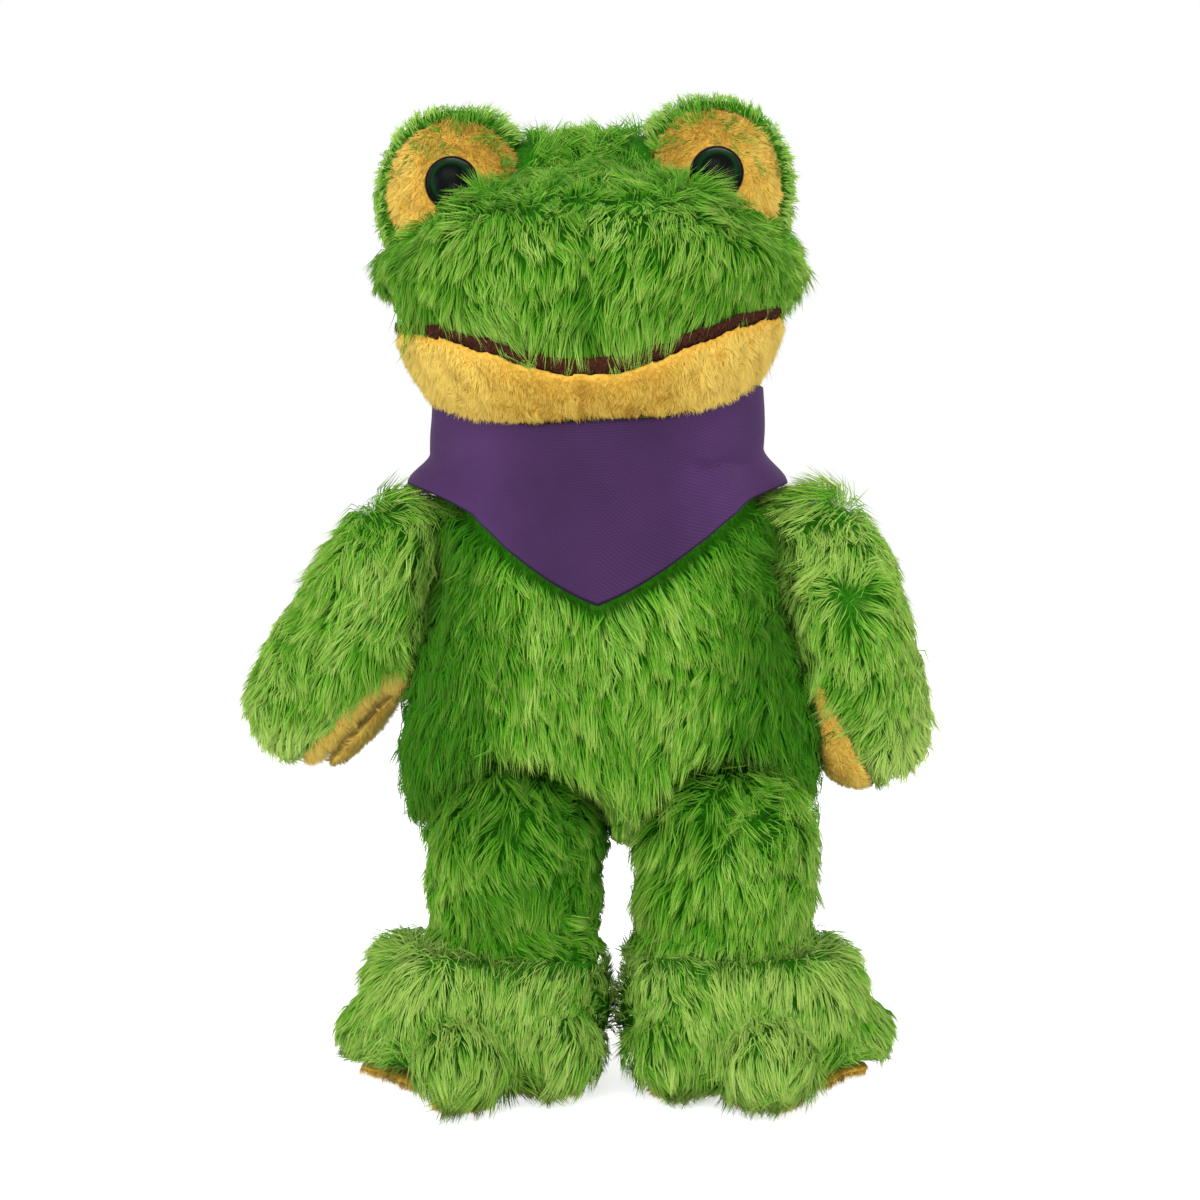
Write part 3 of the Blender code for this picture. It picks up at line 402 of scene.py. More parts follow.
def scatter(obj, openness, density, rng, floor=0.5):
    """Roots spread over a skin by area, fewer where it lies in a seam; density is per square mm."""
    points, triangles, normals = arrays_of(obj.data)
    corners = points[triangles]
    areas = np.linalg.norm(
        np.cross(corners[:, 1] - corners[:, 0], corners[:, 2] - corners[:, 0]), axis=1
    ) / (2.0 * MM * MM)
    open_share = openness[triangles].mean(axis=1)
    weight = areas * np.where(open_share < SHUT_SEAM, 0.0, floor + (1.0 - floor) * open_share)
    count = int(density * weight.sum())
    chosen = rng.choice(len(triangles), count, p=weight / weight.sum())
    first = np.sqrt(rng.random(count))
    second = rng.random(count)
    shares = np.stack([1.0 - first, first * (1.0 - second), first * second], axis=1)[..., None]
    roots = (corners[chosen] * shares).sum(axis=1)
    ups = unit((normals[triangles[chosen]] * shares).sum(axis=1))
    opens = (openness[triangles[chosen]] * shares[..., 0]).sum(axis=1)
    return roots, ups, opens


# %% Grow strands along paths
FACES_PER_PIECE = 190000
ABOVE_FLOOR = 0.5 * MM
# Light soaks into pile from above and in front, so the strands are lit a little that way
SKYWARDS = np.array((0.0, -0.14, 0.20))
# The least and the most of what the combs ask for that a strand gets
LIFT_SPREAD, SIZE_SPREAD, WIDTH_SPREAD = (0.75, 1.25), (0.75, 1.15), (0.7, 1.3)
MIDDLE_TONE, TONE_SPREAD = 0.5, 0.08
MIDDLE_PULL, MIDDLE_DRIFT = 0.35, 0.5  # how much of a lock's pull and drift a middle takes
COUNTS = {}


def crossing_nothing(cover, roots, middle, tip):
    """Which strands reach their tips without passing through a cover, such as the cloth."""
    clear = np.ones(len(roots), bool)
    for start, end in ((roots, middle), (middle, tip)):
        for index, (first, last) in enumerate(zip(start.tolist(), end.tolist())):
            way = Vector(last) - Vector(first)
            if clear[index] and cover.ray_cast(first, way, way.length)[0] is not None:
                clear[index] = False
    return clear


def gather(paths, roots, leaders, pull, drifts):
    """Draws each path towards that of the nearest leader, and lets each lock drift its own way."""
    tree = KDTree(len(leaders))
    for place, leader in enumerate(leaders.tolist()):
        tree.insert(roots[leader], place)
    tree.balance()
    nearest = np.array([tree.find(root)[1] for root in roots.tolist()])
    leader = leaders[nearest]
    for path, share, drift in zip(paths, (MIDDLE_PULL, 1.0), drifts):
        path += (path[leader] - path) * pull * share + drift[nearest]
    return nearest, leader


def grow(name, body, material, slot_name, roots, ups, comb, look, rng, cover=None):
    """Strands in pieces of fewer than 200,000 triangles each, riding on a body."""
    count = len(roots)
    flow, length, lift, shade, sag = comb
    # The strand leaves its skin at the comb's lift, then lies lower and sags
    along = flow - ups * (flow * ups).sum(axis=1)[:, None]
    along = unit(along + rng.normal(size=along.shape) * look["stray"])
    lift = (lift * rng.uniform(*LIFT_SPREAD, count))[:, None]
    rise = along * np.cos(lift) + ups * np.sin(lift)
    lower = lift * look["settle"]
    lie = along * np.cos(lower) + ups * np.sin(lower)
    lie = unit(lie + DOWN * (look["sag"] + sag)[:, None])
    size = (length * rng.uniform(*SIZE_SPREAD, count))[:, None]
    middle = roots + rise * size * BEND + rng.normal(size=roots.shape) * look["curl"]
    tip = middle + lie * size * (1.0 - BEND)

    # Locks, and fewer and weaker big locks over them
    tone = rng.normal(MIDDLE_TONE, TONE_SPREAD, count) + shade
    bulge = np.zeros_like(roots)
    for lock_size, pull, spread, drift, round_share in look["locks"]:
        leaders = rng.choice(count, max(count // lock_size, 1), replace=False)
        drifts = [
            rng.normal(size=(len(leaders), 3)) * drift * part for part in (MIDDLE_DRIFT, 1.0)
        ]
        nearest, leader = gather((middle, tip), roots, leaders, pull, drifts)
        tone += rng.normal(0.0, spread, len(leaders))[nearest]
        aside = roots - roots[leader]
        reach = np.sqrt((aside**2).sum(axis=1).mean()) + WELD
        bulge += aside / reach * round_share
    tip += rng.normal(size=tip.shape) * look["frizz"]
    for path in (middle, tip):
        path[:, 2] = np.maximum(path[:, 2], ABOVE_FLOOR)
    if cover:
        clear = crossing_nothing(cover, roots, middle, tip)
        kept = (roots, ups, middle, tip, tone, bulge)
        roots, ups, middle, tip, tone, bulge = (values[clear] for values in kept)
        count = len(roots)

    template, faces = LONG_STRAND if look["bends"] else SHORT_STRAND
    heading = unit(tip - roots)
    side = unit(np.cross(heading, ups))
    over = np.cross(heading, side)
    turn = rng.uniform(0.0, math.tau, count)[:, None]
    across_way = side * np.cos(turn) + over * np.sin(turn)
    over_way = over * np.cos(turn) - side * np.sin(turn)
    width = (look["width"] * rng.uniform(*WIDTH_SPREAD, count))[:, None]
    strands = np.zeros((count, len(template), 3))
    shown = np.zeros((count, len(template), 3))
    for index, (across, upward, share) in enumerate(template):
        path = middle
        if share < BEND / 2:
            path = roots
        elif share > (1.0 + BEND) / 2:
            path = tip
        away = across_way * across + over_way * upward
        strands[:, index] = path + away * width
        shown[:, index] = unit(ups + away * look["roundness"] + bulge + SKYWARDS)
    shares = np.tile(template[:, 2], (count, 1))
    tones = np.repeat(np.clip(tone, 0.0, 1.0), len(template)).reshape(count, -1)

    parts = max(math.ceil(count * len(faces) / FACES_PER_PIECE), 1)
    for part in range(parts):
        rows = slice(part, None, parts)
        piece_name = name if parts == 1 else f"{name}_{part + 1}"
        mesh = strands_mesh(
            piece_name, strands[rows], shown[rows], faces, shares[rows], tones[rows]
        )
        dress(add_piece(piece_name, mesh), material, slot_name, body)
    COUNTS[name] = count * len(faces)
    print(name, "has", count, "strands in", parts, "pieces")


def strands_mesh(name, strands, shown, faces, shares, tones):
    """One mesh of many copies of the strand, with each point's share along it and its tone."""
    count, per_strand = strands.shape[:2]
    mesh = bpy.data.meshes.new(name)
    offsets = np.arange(count)[:, None, None] * per_strand
    corners = (faces[None] + offsets).reshape(-1)
    mesh.vertices.add(count * per_strand)
    mesh.vertices.foreach_set("co", strands.astype(np.float32).ravel())
    mesh.loops.add(len(corners))
    mesh.loops.foreach_set("vertex_index", corners.astype(np.int32))
    mesh.polygons.add(len(corners) // 3)
    mesh.polygons.foreach_set("loop_start", np.arange(0, len(corners), 3, dtype=np.int32))
    mesh.update(calc_edges=True)
    mesh.shade_smooth()
    for label, values in (("along", shares), ("tone", tones)):
        attribute = mesh.attributes.new(label, "FLOAT", "POINT")
        attribute.data.foreach_set("value", values.astype(np.float32).ravel())
    # Lit like the skin below it, a strand shows its colour and not its three sides
    mesh.normals_split_custom_set_from_vertices(shown.reshape(-1, 3))
    return mesh


# %% [markdown]
# ## Bandana
# A square of plain cloth is folded corner to corner, laid over the chest and tied behind. It is
# a sheet, so it is modelled as a grid wound round the neck, given its thickness at the end.
# The grid follows the chest, hangs a little proud of it and has soft folds where it is pulled.

# %% Wind the cloth round the neck
COLUMNS, ROWS = 144, 36
CLOTH_THICKNESS = 1.1 * MM
FLAT_WIDTH, FLAT_DEPTH = 430.0, 66.0  # of the shown cloth, in millimetres
NECK_X, NECK_Y = 3.9 * MM, 7.4 * MM
COLLAR_FRONT, COLLAR_SIDE, COLLAR_END = 261.0 * MM, 276.0 * MM, 257.0 * MM
COLLAR_TILT = 3.2 * MM  # the head leans, and the cloth's upper edge with it
COLLAR_REACH, COLLAR_PINCH, COLLAR_BACK = 67.5 * MM, 10.5 * MM, 1.0 * MM
SHOULDER_HEM = 240.5 * MM
SHOULDER_FLARE = 10.0 * MM
TIP_HEM, HEM_SLOPE, HEM_CURVE = 189.5 * MM, 0.30, 4.6
# Where each begins and ends: the first two from 0 in front to 1 behind, the flare down the cloth
ASIDE_TURN, BEHIND_TURN, FLARE_SHARE = (0.22, 0.46), (0.55, 0.85), (0.62, 1.0)
RISE_TURN = (0.42, 0.98)  # of the way from the middle out to the side
CHEST_GAP = 1.2 * MM
FOLD_COUNT, FOLD_SKEW, FOLD_DEPTH = 9.0, 4.0, 0.8 * MM
DRAPE_PLACE, DRAPE_WIDTH, DRAPE_DEPTH = 0.26, 0.08, 2.2 * MM
CHEST_TREE = solids_tree(["torso_skin"])


def eased(value, low, high):
    return float(smooth_step(np.array(value), low, high))


bm = bmesh.new()
bmesh.ops.create_grid(bm, x_segments=COLUMNS, y_segments=ROWS, size=0.5)
uv_layer = bm.loops.layers.uv.new("cloth")
for face in bm.faces:
    for loop in face.loops:
        place = loop.vert.co
        loop[uv_layer].uv = ((place.x + 0.5) * FLAT_WIDTH, (place.y + 0.5) * FLAT_DEPTH)
for vert in bm.verts:
    turn = vert.co.x * math.tau
    share = 0.5 - vert.co.y
    outwards = Vector((math.sin(turn), -math.cos(turn), 0.0))
    from_front = abs(vert.co.x) * 2.0
    aside = eased(from_front, *ASIDE_TURN)
    behind = eased(from_front, *BEHIND_TURN)
    rise = eased(abs(outwards.x), *RISE_TURN) if from_front < 0.5 else 1.0
    top = COLLAR_FRONT + (COLLAR_SIDE - COLLAR_FRONT) * rise
    top += (COLLAR_END - COLLAR_SIDE) * behind + COLLAR_TILT * outwards.x
    hem_reach = (abs(outwards.x) if from_front < 0.5 else 1.0) * (COLLAR_REACH + SHOULDER_FLARE)
    hem = min(TIP_HEM + HEM_SLOPE * hem_reach + HEM_CURVE * hem_reach**2, SHOULDER_HEM)
    z = top + (hem - top) * share
    middle = Vector((NECK_X, NECK_Y, z))
    hit = CHEST_TREE.ray_cast(middle + outwards * 0.2, -outwards)[0]
    chest = (hit - middle).length if hit else 0.0
    flare = SHOULDER_FLARE * aside * (1.0 - 0.9 * behind) * eased(share, *FLARE_SHARE)
    collar = COLLAR_REACH - COLLAR_PINCH * (1.0 - aside) + flare + COLLAR_BACK * behind
    fold = FOLD_DEPTH * math.sin(turn * FOLD_COUNT + share * FOLD_SKEW)
    fold = fold * math.sin(math.pi * share) * aside
    drape = math.exp(-(((from_front - DRAPE_PLACE) / DRAPE_WIDTH) ** 2))
    drape = drape * math.sin(math.pi * share) ** 2
    reach = max(chest + CHEST_GAP, collar) + fold + DRAPE_DEPTH * drape
    vert.co = middle + outwards * reach
bmesh.ops.remove_doubles(bm, verts=bm.verts, dist=WELD)
bmesh.ops.recalc_face_normals(bm, faces=bm.faces)
cloth_area = sum(face.calc_area() for face in bm.faces)
bandana = add_piece("bandana_cloth", mesh_of(bm, "bandana_cloth"))
thick = bandana.modifiers.new("cloth", "SOLIDIFY")
thick.thickness = CLOTH_THICKNESS
thick.offset = 1.0
settle(bandana)
bandana.data.shade_smooth()
print("bandana cloth area:", round(cloth_area * 1e4), "square cm")


# %% Bandana weave
CLOTH_STOPS = ((0.32, (0.064, 0.023, 0.098)), (0.68, (0.084, 0.030, 0.126)))
HEM_STOPS = ((0.008, 0.25), (0.022, 1.0))
# Painted highlights: the cloth is brightest where it turns over the shoulders, and darker between
# them in front
PAINTED_HIGHLIGHT_STOPS = [
    (0.5 + place, level)
    for place, level in (
        (-0.36, 0.70), (-0.23, 0.80), (-0.135, 1.0), (-0.065, 0.66),
        (0.065, 0.66), (0.135, 1.0), (0.23, 0.80), (0.36, 0.70),
    )
]


def cloth_material():
    material, tree, shader = new_material("purple_cloth", roughness=0.7, specular=0.12)
    uv = output_of(tree, "UVMap", uv_map="cloth")
    yarns = []
    for direction, scale in (("DIAGONAL", 0.36), ("Y", 0.30)):
        inputs = {"Vector": uv, "Scale": scale, "Distortion": 0.6}
        yarns.append(output_of(tree, "TexWave", inputs, bands_direction=direction))
    yarn = mixed(tree, 0.5, *yarns)
    base = ramped(tree, noise_at(tree, scale=35.0, detail=3.0), CLOTH_STOPS)
    colour = mixed(tree, 0.45, base, yarn, "MULTIPLY")
    places = add_node(tree, "SeparateXYZ", {0: uv}).outputs
    # Painted highlights across the cloth, and a darker hem along its edge
    for place, whole, stops, interpolation in (
        (places["X"], FLAT_WIDTH, PAINTED_HIGHLIGHT_STOPS, "EASE"),
        (places["Y"], FLAT_DEPTH, HEM_STOPS, "LINEAR"),
    ):
        share = output_of(tree, "Math", {0: place, 1: whole}, operation="DIVIDE")
        level = ramped(tree, share, stops, interpolation)
        colour = mixed(tree, 1.0, colour, level, "MULTIPLY")
    tree.links.new(colour, shader["Base Color"])
    add_bump(tree, shader, yarn, strength=0.5, distance=0.25 * MM)
    add_sheen(shader, weight=0.10, roughness=0.5, tint=(0.6, 0.45, 0.75))
    return material


CLOTH = cloth_material()
dress(bandana, CLOTH, "bandana_cloth", "torso", "bandana")


# %% [markdown]
# ## Knot
# The two ends are crossed and pulled tight behind the neck, and hang down as short tails.

# %% Tie the knot
knot = soft_form("bandana_tie", ["bandana_knot"], voxel=0.9 * MM, smoothing=3)
knot.data.shade_smooth()
dress(knot, CLOTH, "bandana_cloth", "torso", "bandana_knot", fill=0.9)


# %% [markdown]
# ## How the pile is combed
# Each region has its own comb: which way the strands lie, how long they are, how far they lift
# off the skin, how pale they are, which is partly painted light and shade, and how much they
# hang. On the head the pile parts on top of the muzzle, where it is crushed, and falls away all
# round into a fringe over the mouth. On the torso it runs down and in, and its hem falls over the
# tops of the legs. On a limb it follows the limb, and on a foot it runs out and meets in a ridge
# over each toe. The places in the combs are read from the solids, and their shares were tuned
# against the photograph.

# %% Landmarks and the plain comb
GREEN_LENGTH = 14.2 * MM
GREEN_LIFT = math.radians(38.0)
HEAD_LOW, HEAD_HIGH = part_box("head_skin")
HEAD_MIDDLE = (HEAD_LOW.x + HEAD_HIGH.x) / 2
TORSO_LOW, TORSO_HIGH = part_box("torso_skin")
TORSO_MIDDLE = (TORSO_LOW.x + TORSO_HIGH.x) / 2
SIGNS = {"l": 1.0, "r": -1.0}
DOWN = np.array((0.0, 0.0, -1.0))


def near(points, place, reach):
    """1 at a place, falling to 0 at about twice the reach."""
    gaps = np.linalg.norm(points - np.array(place), axis=1)
    return np.exp(-((gaps / reach) ** 2))


def combed(points, flow, length=1.0, lift=1.0, shade=0.0, sag=0.0):
    """Fills out a comb: the flow with its wandering, and arrays for the rest."""
    ones = np.ones(len(points))
    shade = shade + waves(points, 60.0, 7)[:, 0] * 0.07
    return flow, GREEN_LENGTH * length * ones, GREEN_LIFT * lift * ones, shade, sag * ones


# %% The head's comb
WHORLS = [np.array((HEAD_MIDDLE + x * MM, -48.0 * MM, 344.0 * MM)) for x in (-33.0, 33.0)]
WHORL_CORE = 12.0 * MM
BROW_REACH, TUFT_REACH, PARTING_WIDTH = 16.0 * MM, 15.0 * MM, 2.2 * MM
# The mouth's line, in the middle and how far it rises to its corners
MOUTH_LOW, MOUTH_RISE, MOUTH_HALF = 283.0 * MM, 17.0 * MM, 75.0 * MM
EYE_PLACES = {}
for side in SIGNS:
    low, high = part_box(f"eye_stem_{side}")
    EYE_PLACES[side] = ((low.x + high.x) / 2, low.y, (low.z + high.z) / 2)


def head_comb(points):
    """Two whorls on the muzzle, whose pile meets in a parting over its middle."""
    x, y, z = points.T
    flow = np.zeros_like(points)
    total = np.zeros((len(points), 1))
    for whorl in WHORLS:
        away = points - whorl
        reach = np.linalg.norm(away, axis=1)[:, None]
        pull = 1.0 / (reach**3 + WHORL_CORE**3)
        flow += unit(away) * pull
        total += pull
    flow = flow / total + DOWN * 0.55
    front = past(-y, 5.0, 30.0)
    top = past(z, 326.0, 346.0)
    crushed = top * (0.35 + 0.65 * front)
    flow = unit(flow) * (1.0 - 0.75 * crushed[:, None])
    flow += waves(points, 38.0, 11) * 0.20 + waves(points, 9.0, 12) * crushed[:, None]
    aside = x - HEAD_MIDDLE
    brow = np.zeros(len(points))
    for eye_x, eye_y, eye_z in EYE_PLACES.values():
        over_eye = (eye_x * 0.86, eye_y - 8.0 * MM, eye_z - 11.0 * MM)
        brow += near(points, over_eye, BROW_REACH)
    above_mouth = z - MOUTH_LOW - MOUTH_RISE * (aside / MOUTH_HALF) ** 2
    fringe = 1.0 - past(above_mouth, 4.0, 24.0)
    fringe *= past(-y, -16.0, 4.0)
    cheek = past(np.abs(aside), 35.0, 75.0)
    jowl = past(-aside, 68.0, 80.0)
    jowl *= 1.0 - past(z, 316.0, 328.0)
    seam = np.exp(-((aside / PARTING_WIDTH) ** 2)) * (1.0 - top) * front
    hump = past(z, 352.0, 368.0)
    fringe *= 1.0 - jowl
    tuft = near(points, (HEAD_HIGH.x, -8.0 * MM, 318.0 * MM), TUFT_REACH)
    nape = 1.0 - past(z, 286.0, 306.0)
    nape *= 1.0 - past(-y, 4.0, 20.0)
    length = (0.86 - 0.18 * crushed + 0.36 * fringe + 0.24 * cheek * fringe) * (1.0 - 0.55 * jowl)
    length *= 1.0 - 0.55 * nape
    length += 0.85 * brow + 0.45 * hump + 0.55 * tuft
    lift = (0.95 + 0.75 * crushed + 0.2 * fringe + 0.55 * brow) * (1.0 - 0.6 * jowl)
    shade = 0.05 - 0.16 * cheek - 0.30 * crushed + 0.10 * fringe - 0.30 * seam
    return combed(points, flow, length, lift, shade, (0.7 + 0.5 * cheek) * fringe)


# %% The torso's comb
TORSO_HALF = 85.0 * MM
CROTCH_WIDTH = 0.16  # of the half width


def torso_comb(points):
    """Down and in, with painted shade on its sides by the arms and up by the cloth, a hem over the
    legs and a trimmed crotch.
    """
    x, y, z = points.T
    aside = (x - TORSO_MIDDLE) / TORSO_HALF
    low = 1.0 - past(z, 100.0, 150.0)
    front = past(-y, 0.0, 20.0)
    crotch = np.exp(-((aside / CROTCH_WIDTH) ** 2)) * low
    hem = (1.0 - past(z, 126.0, 150.0)) * front * (1.0 - crotch)
    shoulder = smooth_step(np.abs(aside), 0.50, 0.75)
    shoulder *= past(z, 205.0, 222.0)
    edge = smooth_step(np.abs(aside), 0.30, 0.78)
    flow = np.zeros_like(points)
    flow[:, 0] = -aside * (0.45 + 0.75 * low) + np.sign(aside) * 1.6 * shoulder
    flow[:, 2] = -1.0
    flow += waves(points, 50.0, 21) * 0.34
    # Painted shade: darker towards the sides beside the arms, and higher up towards the cloth
    shade = -0.03 - 0.56 * edge - 0.10 * past(z, 185.0, 215.0)
    length = 1.05 + 0.75 * hem + 0.5 * shoulder - 0.70 * crotch
    return combed(points, flow, length, 1.0 - 0.35 * hem + 0.5 * shoulder, shade, 0.35 * hem)


# %% The combs of arms, legs and feet
LEG_SHADES = {1.0: -0.03, -1.0: -0.26}  # the toy's right leg is the darker one
CROWN_RISE = {1.0: 0.5, -1.0: 0.28}  # how much higher the pile stands on the shoulders
ARM_SHADES = {1.0: 0.12, -1.0: 0.02}
# The upper part of the toy's left palm hides behind the pile between these places
VEIL = ((99.0 * MM, -17.0 * MM, 152.0 * MM), (108.0 * MM, -17.0 * MM, 134.0 * MM))
CROWN_ENDS = {1.0: 106.0 * MM, -1.0: 92.0 * MM}  # how far out the shoulders' high pile reaches
STAR_REACH, VEIL_REACH = 16.0 * MM, 11.0 * MM
RIDGE_REACH, RIDGE_SPAN, CREASE_WIDTH = 9.0 * MM, 14.0 * MM, 3.0 * MM


def arm_comb(points, axis, sign, star):
    """Along the arm and in towards the body, with a star where the pile was crushed, and painted
    light making the outer side and the hand paler.
    """
    x, _, z = points.T
    top = past(z, 212.0, 232.0)
    hand = 1.0 - past(z, 128.0, 158.0)
    inner = 1.0 - past(sign * x - CROWN_ENDS[sign], -6.0, 6.0)
    crown = past(z, 218.0, 232.0) * inner
    flow = np.tile(np.array(axis, float), (len(points), 1))
    flow[:, 0] -= sign * (0.45 - 0.9 * top * (1.0 - crown) + 1.6 * crown)
    flow += waves(points, 40.0, 51) * 0.32
    crushed = near(points, star, STAR_REACH)[:, None]
    flow += unit(points - np.array(star)) * crushed * 2.4
    outer = past(sign * (x - star[0]), 3.0, 33.0)
    veil = np.maximum(*(near(points, place, VEIL_REACH) for place in VEIL))
    flow += veil[:, None] * np.array((-2.6, -0.4, -0.6))
    # Painted light: paler on the outer side and at the hand
    shade = ARM_SHADES[sign] + 0.26 * outer - 0.05 * crushed[:, 0] + 0.30 * hand
    length = 1.0 - 0.20 * crushed[:, 0] - 0.15 * hand + CROWN_RISE[sign] * crown + 0.6 * veil
    length -= 0.25 * top * (1.0 - crown)
    lift = 1.0 - 0.45 * top + 1.7 * CROWN_RISE[sign] * crown + 0.3 * veil
    return combed(points, flow, length, lift, shade)


def leg_comb(points, sign, hip):
    """Down the leg, and standing in crushed tufts in the fold of the hip, with painted shade in the
    fold and painted light on the outer side.
    """
    x, y, z = points.T
    flow = np.tile(DOWN, (len(points), 1)) + waves(points, 42.0, 61) * 0.40
    flow[:, 0] -= sign * 0.2
    fold = smooth_step(z, hip[2] - 4.0 * MM, hip[2] + 18.0 * MM)
    front = past(-y, -5.0, 15.0)
    crushed = fold * front
    flow += waves(points, 11.0, 62) * crushed[:, None]
    outer = past(sign * (x - hip[0]), 14.0, 36.0)
    # Painted shade in the hip's fold, and painted light on the outer side
    shade = LEG_SHADES[sign] + 0.22 * outer - 0.20 * crushed
    inner = past(-sign * (x - hip[0]), 10.0, 22.0)
    return combed(points, flow, 1.0 + 0.30 * crushed + sign * 0.35 * inner, 1.0 + crushed, shade)


def foot_comb(points, ankle, toes):
    """Outwards from the ankle, and in towards the ridge that runs out to each toe, with painted
    shade in the crease along each ridge.
    """
    x, y, z = points.T
    ridge = toes - ankle
    reach = points[:, None] - ankle
    share = np.clip((reach * ridge).sum(axis=2) / (ridge**2).sum(axis=1), 0.0, 1.0)
    nearest = ankle + ridge * share[..., None]
    gap = nearest - points[:, None]
    pull = 1.0 / ((gap**2).sum(axis=2) + RIDGE_REACH**2) ** 2
    pull /= pull.sum(axis=1)[:, None]
    inwards = (gap / RIDGE_SPAN * pull[..., None]).sum(axis=1)
    outwards = unit(points - ankle + np.array((0.0, 0.0, 8.0 * MM)))
    flow = outwards + np.clip(inwards, -0.9, 0.9) * 0.8 + waves(points, 45.0, 41) * 0.18
    low = 1.0 - past(z, 8.0, 28.0)
    front = past(-y, 30.0, 48.0)
    aside = np.abs(x - TORSO_MIDDLE) - abs(ankle[0] - TORSO_MIDDLE)
    outer = past(aside, 22.0, 40.0)
    rim = past(z, 36.0, 50.0) * past(aside, 12.0, 26.0)
    inner = 1.0 - past(np.abs(x - TORSO_MIDDLE), 4.0, 14.0)
    length = 0.95 + 0.55 * low * front * (1.0 - outer) - 0.12 * low * outer + 0.15 * rim
    length -= 0.1 * inner
    crease = np.exp(-(gap**2).sum(axis=2).min(axis=1) / CREASE_WIDTH**2)
    lift = 0.70 + 0.20 * low * front + 0.25 * rim
    # Painted shade: a little darker in the crease along each ridge
    return combed(points, flow, length, lift, 0.20 - 0.08 * crease, 0.15 * low * front)


def mound_comb(points, middle):
    """Out from the middle in front, where the pile frames the gold face, and back behind; paler all
    over, as painted light.
    """
    away = points - middle
    away[:, 1] = 0.0
    behind = past(points[:, 1], -19.0, -10.0)
    inner = past(-np.sign(middle[0]) * away[:, 0], 0.0, 22.0)
    flow = unit(away) * (0.85 - 0.65 * behind + 0.2 * inner)[:, None]
    flow[:, 1] += 1.0 * behind
    flow += waves(points, 30.0, 31) * 0.20
    # Painted light: the mound's pile is paler all over
    return combed(points, flow, 0.38 + 0.22 * behind + 0.22 * inner, 1.0 - 0.2 * behind, 0.24)


# %% [markdown]
# ## Gold and brown pieces
# The chin, the faces of the eye mounds, the palms and the soles are a short dense pile, and the
# strip between the lips is brown. They come before the long pile, which grows round them.

# %% Make a short pile piece
GOLD_INSET = 1.4 * MM
GOLD_LENGTH = 3.6 * MM
GOLD_LIFT = math.radians(60.0)
GOLD_DENSITY = 3.2
STUFFED = 0.7  # how full a skin is
UNDER_TOY, BACK_FACING, SIDE_FACING = 1.5 * MM, 0.6, -0.3
GOLD_LOOK = {
    "settle": 0.6,
    "sag": 0.10,
    "stray": 0.30,
    "curl": 0.0,
    "locks": ((10, 0.26, 0.05, 0.25 * MM, 0.16), (90, 0.10, 0.07, 0.3 * MM, 0.10)),
    "frizz": 0.15 * MM,
    "width": 0.17 * MM,
    "roundness": 0.40,
    "bends": False,
}


def even_pile(_):
    """Length, shade, flow and lift of short pile that is the same all over."""
    return 1.0, 0.0, DOWN, 1.0


def short_piece(name, nodes, body, finish, seed, ignore=(), voxel=1.8 * MM, inset=GOLD_INSET,
                length=GOLD_LENGTH, comb_at=even_pile, narrowed=None, facing=np.zeros(3),
                density=GOLD_DENSITY):
    """A stuffed skin with short pile; its finish is a pile, a backing and a slot."""
    pile, backing, slot_name = finish
    rng = np.random.default_rng(seed)
    skin, openness = stuffed_skin(name, nodes, inset, ignore, voxel, smoothing=10)
    if narrowed:
        centre, share = narrowed
        skin.data.transform(
            Matrix.Translation(centre) @ Matrix.Diagonal((share, 1.0, share, 1.0))
            @ Matrix.Translation(-Vector(centre))
        )
    dress(skin, backing, slot_name, body, *nodes, fill=STUFFED)
    roots, ups, opens = scatter(skin, openness, density, rng)
    # None under the toy, at the back or on a side that a neighbour hides
    seen = (roots[:, 2] > UNDER_TOY) & (ups[:, 1] < BACK_FACING)
    seen &= (ups * facing).sum(axis=1) > SIDE_FACING
    roots, ups, opens = roots[seen], ups[seen], opens[seen]
    longer, shade, flow, lift = comb_at(roots)
    lengths = length * longer * (0.6 + 0.4 * opens)
    lifts = np.full(len(roots), GOLD_LIFT * lift)
    flow = flow + waves(roots, 15.0, 71) * 0.7
    shade = shade + waves(roots, 30.0, 73)[:, 0] * 0.07
    comb = (flow, lengths, lifts, shade, np.zeros(len(roots)))
    grow(f"{name}_pile", body, pile, slot_name, roots, ups, comb, GOLD_LOOK, rng)
    return skin


# %% Chin and lips
GOLD_FINISH = (GOLD_PILE, GOLD_BACKING, "gold_pile")
BROWN_FINISH = (BROWN_PILE, BROWN_BACKING, "brown_lining")


def chin_pile(points):
    """Paler towards the cheeks, which is painted light on the chin's sides, with a sewn line down
    the middle.
    """
    x, _, z = points.T
    aside = np.abs(x - HEAD_MIDDLE)
    seam = np.exp(-(((x - HEAD_MIDDLE + 2.0 * MM) / (1.1 * MM)) ** 2))
    under = 1.0 - past(z, 263.0, 273.0)
    # Painted light on the chin's sides, which are paler
    shade = -0.08 + 0.72 * past(aside, 20.0, 56.0) - 0.40 * seam
    return 1.0 - 0.15 * under, shade, DOWN, 1.0


short_piece(
    "jaw", ["jaw_skin", "jaw_stuffing"], "head", GOLD_FINISH, 7, ("head_skin",),
    voxel=1.3 * MM, inset=1.0 * MM, comb_at=chin_pile, facing=0.4 * DOWN,
)
short_piece(
    "lip", ["mouth_lining"], "head", BROWN_FINISH, 8, ("head_skin", "jaw_skin"),
    voxel=1.2 * MM, inset=0.5 * MM, length=2.0 * MM, facing=np.array((0.0, -1.6, 0.0)),
    density=1.6,
)

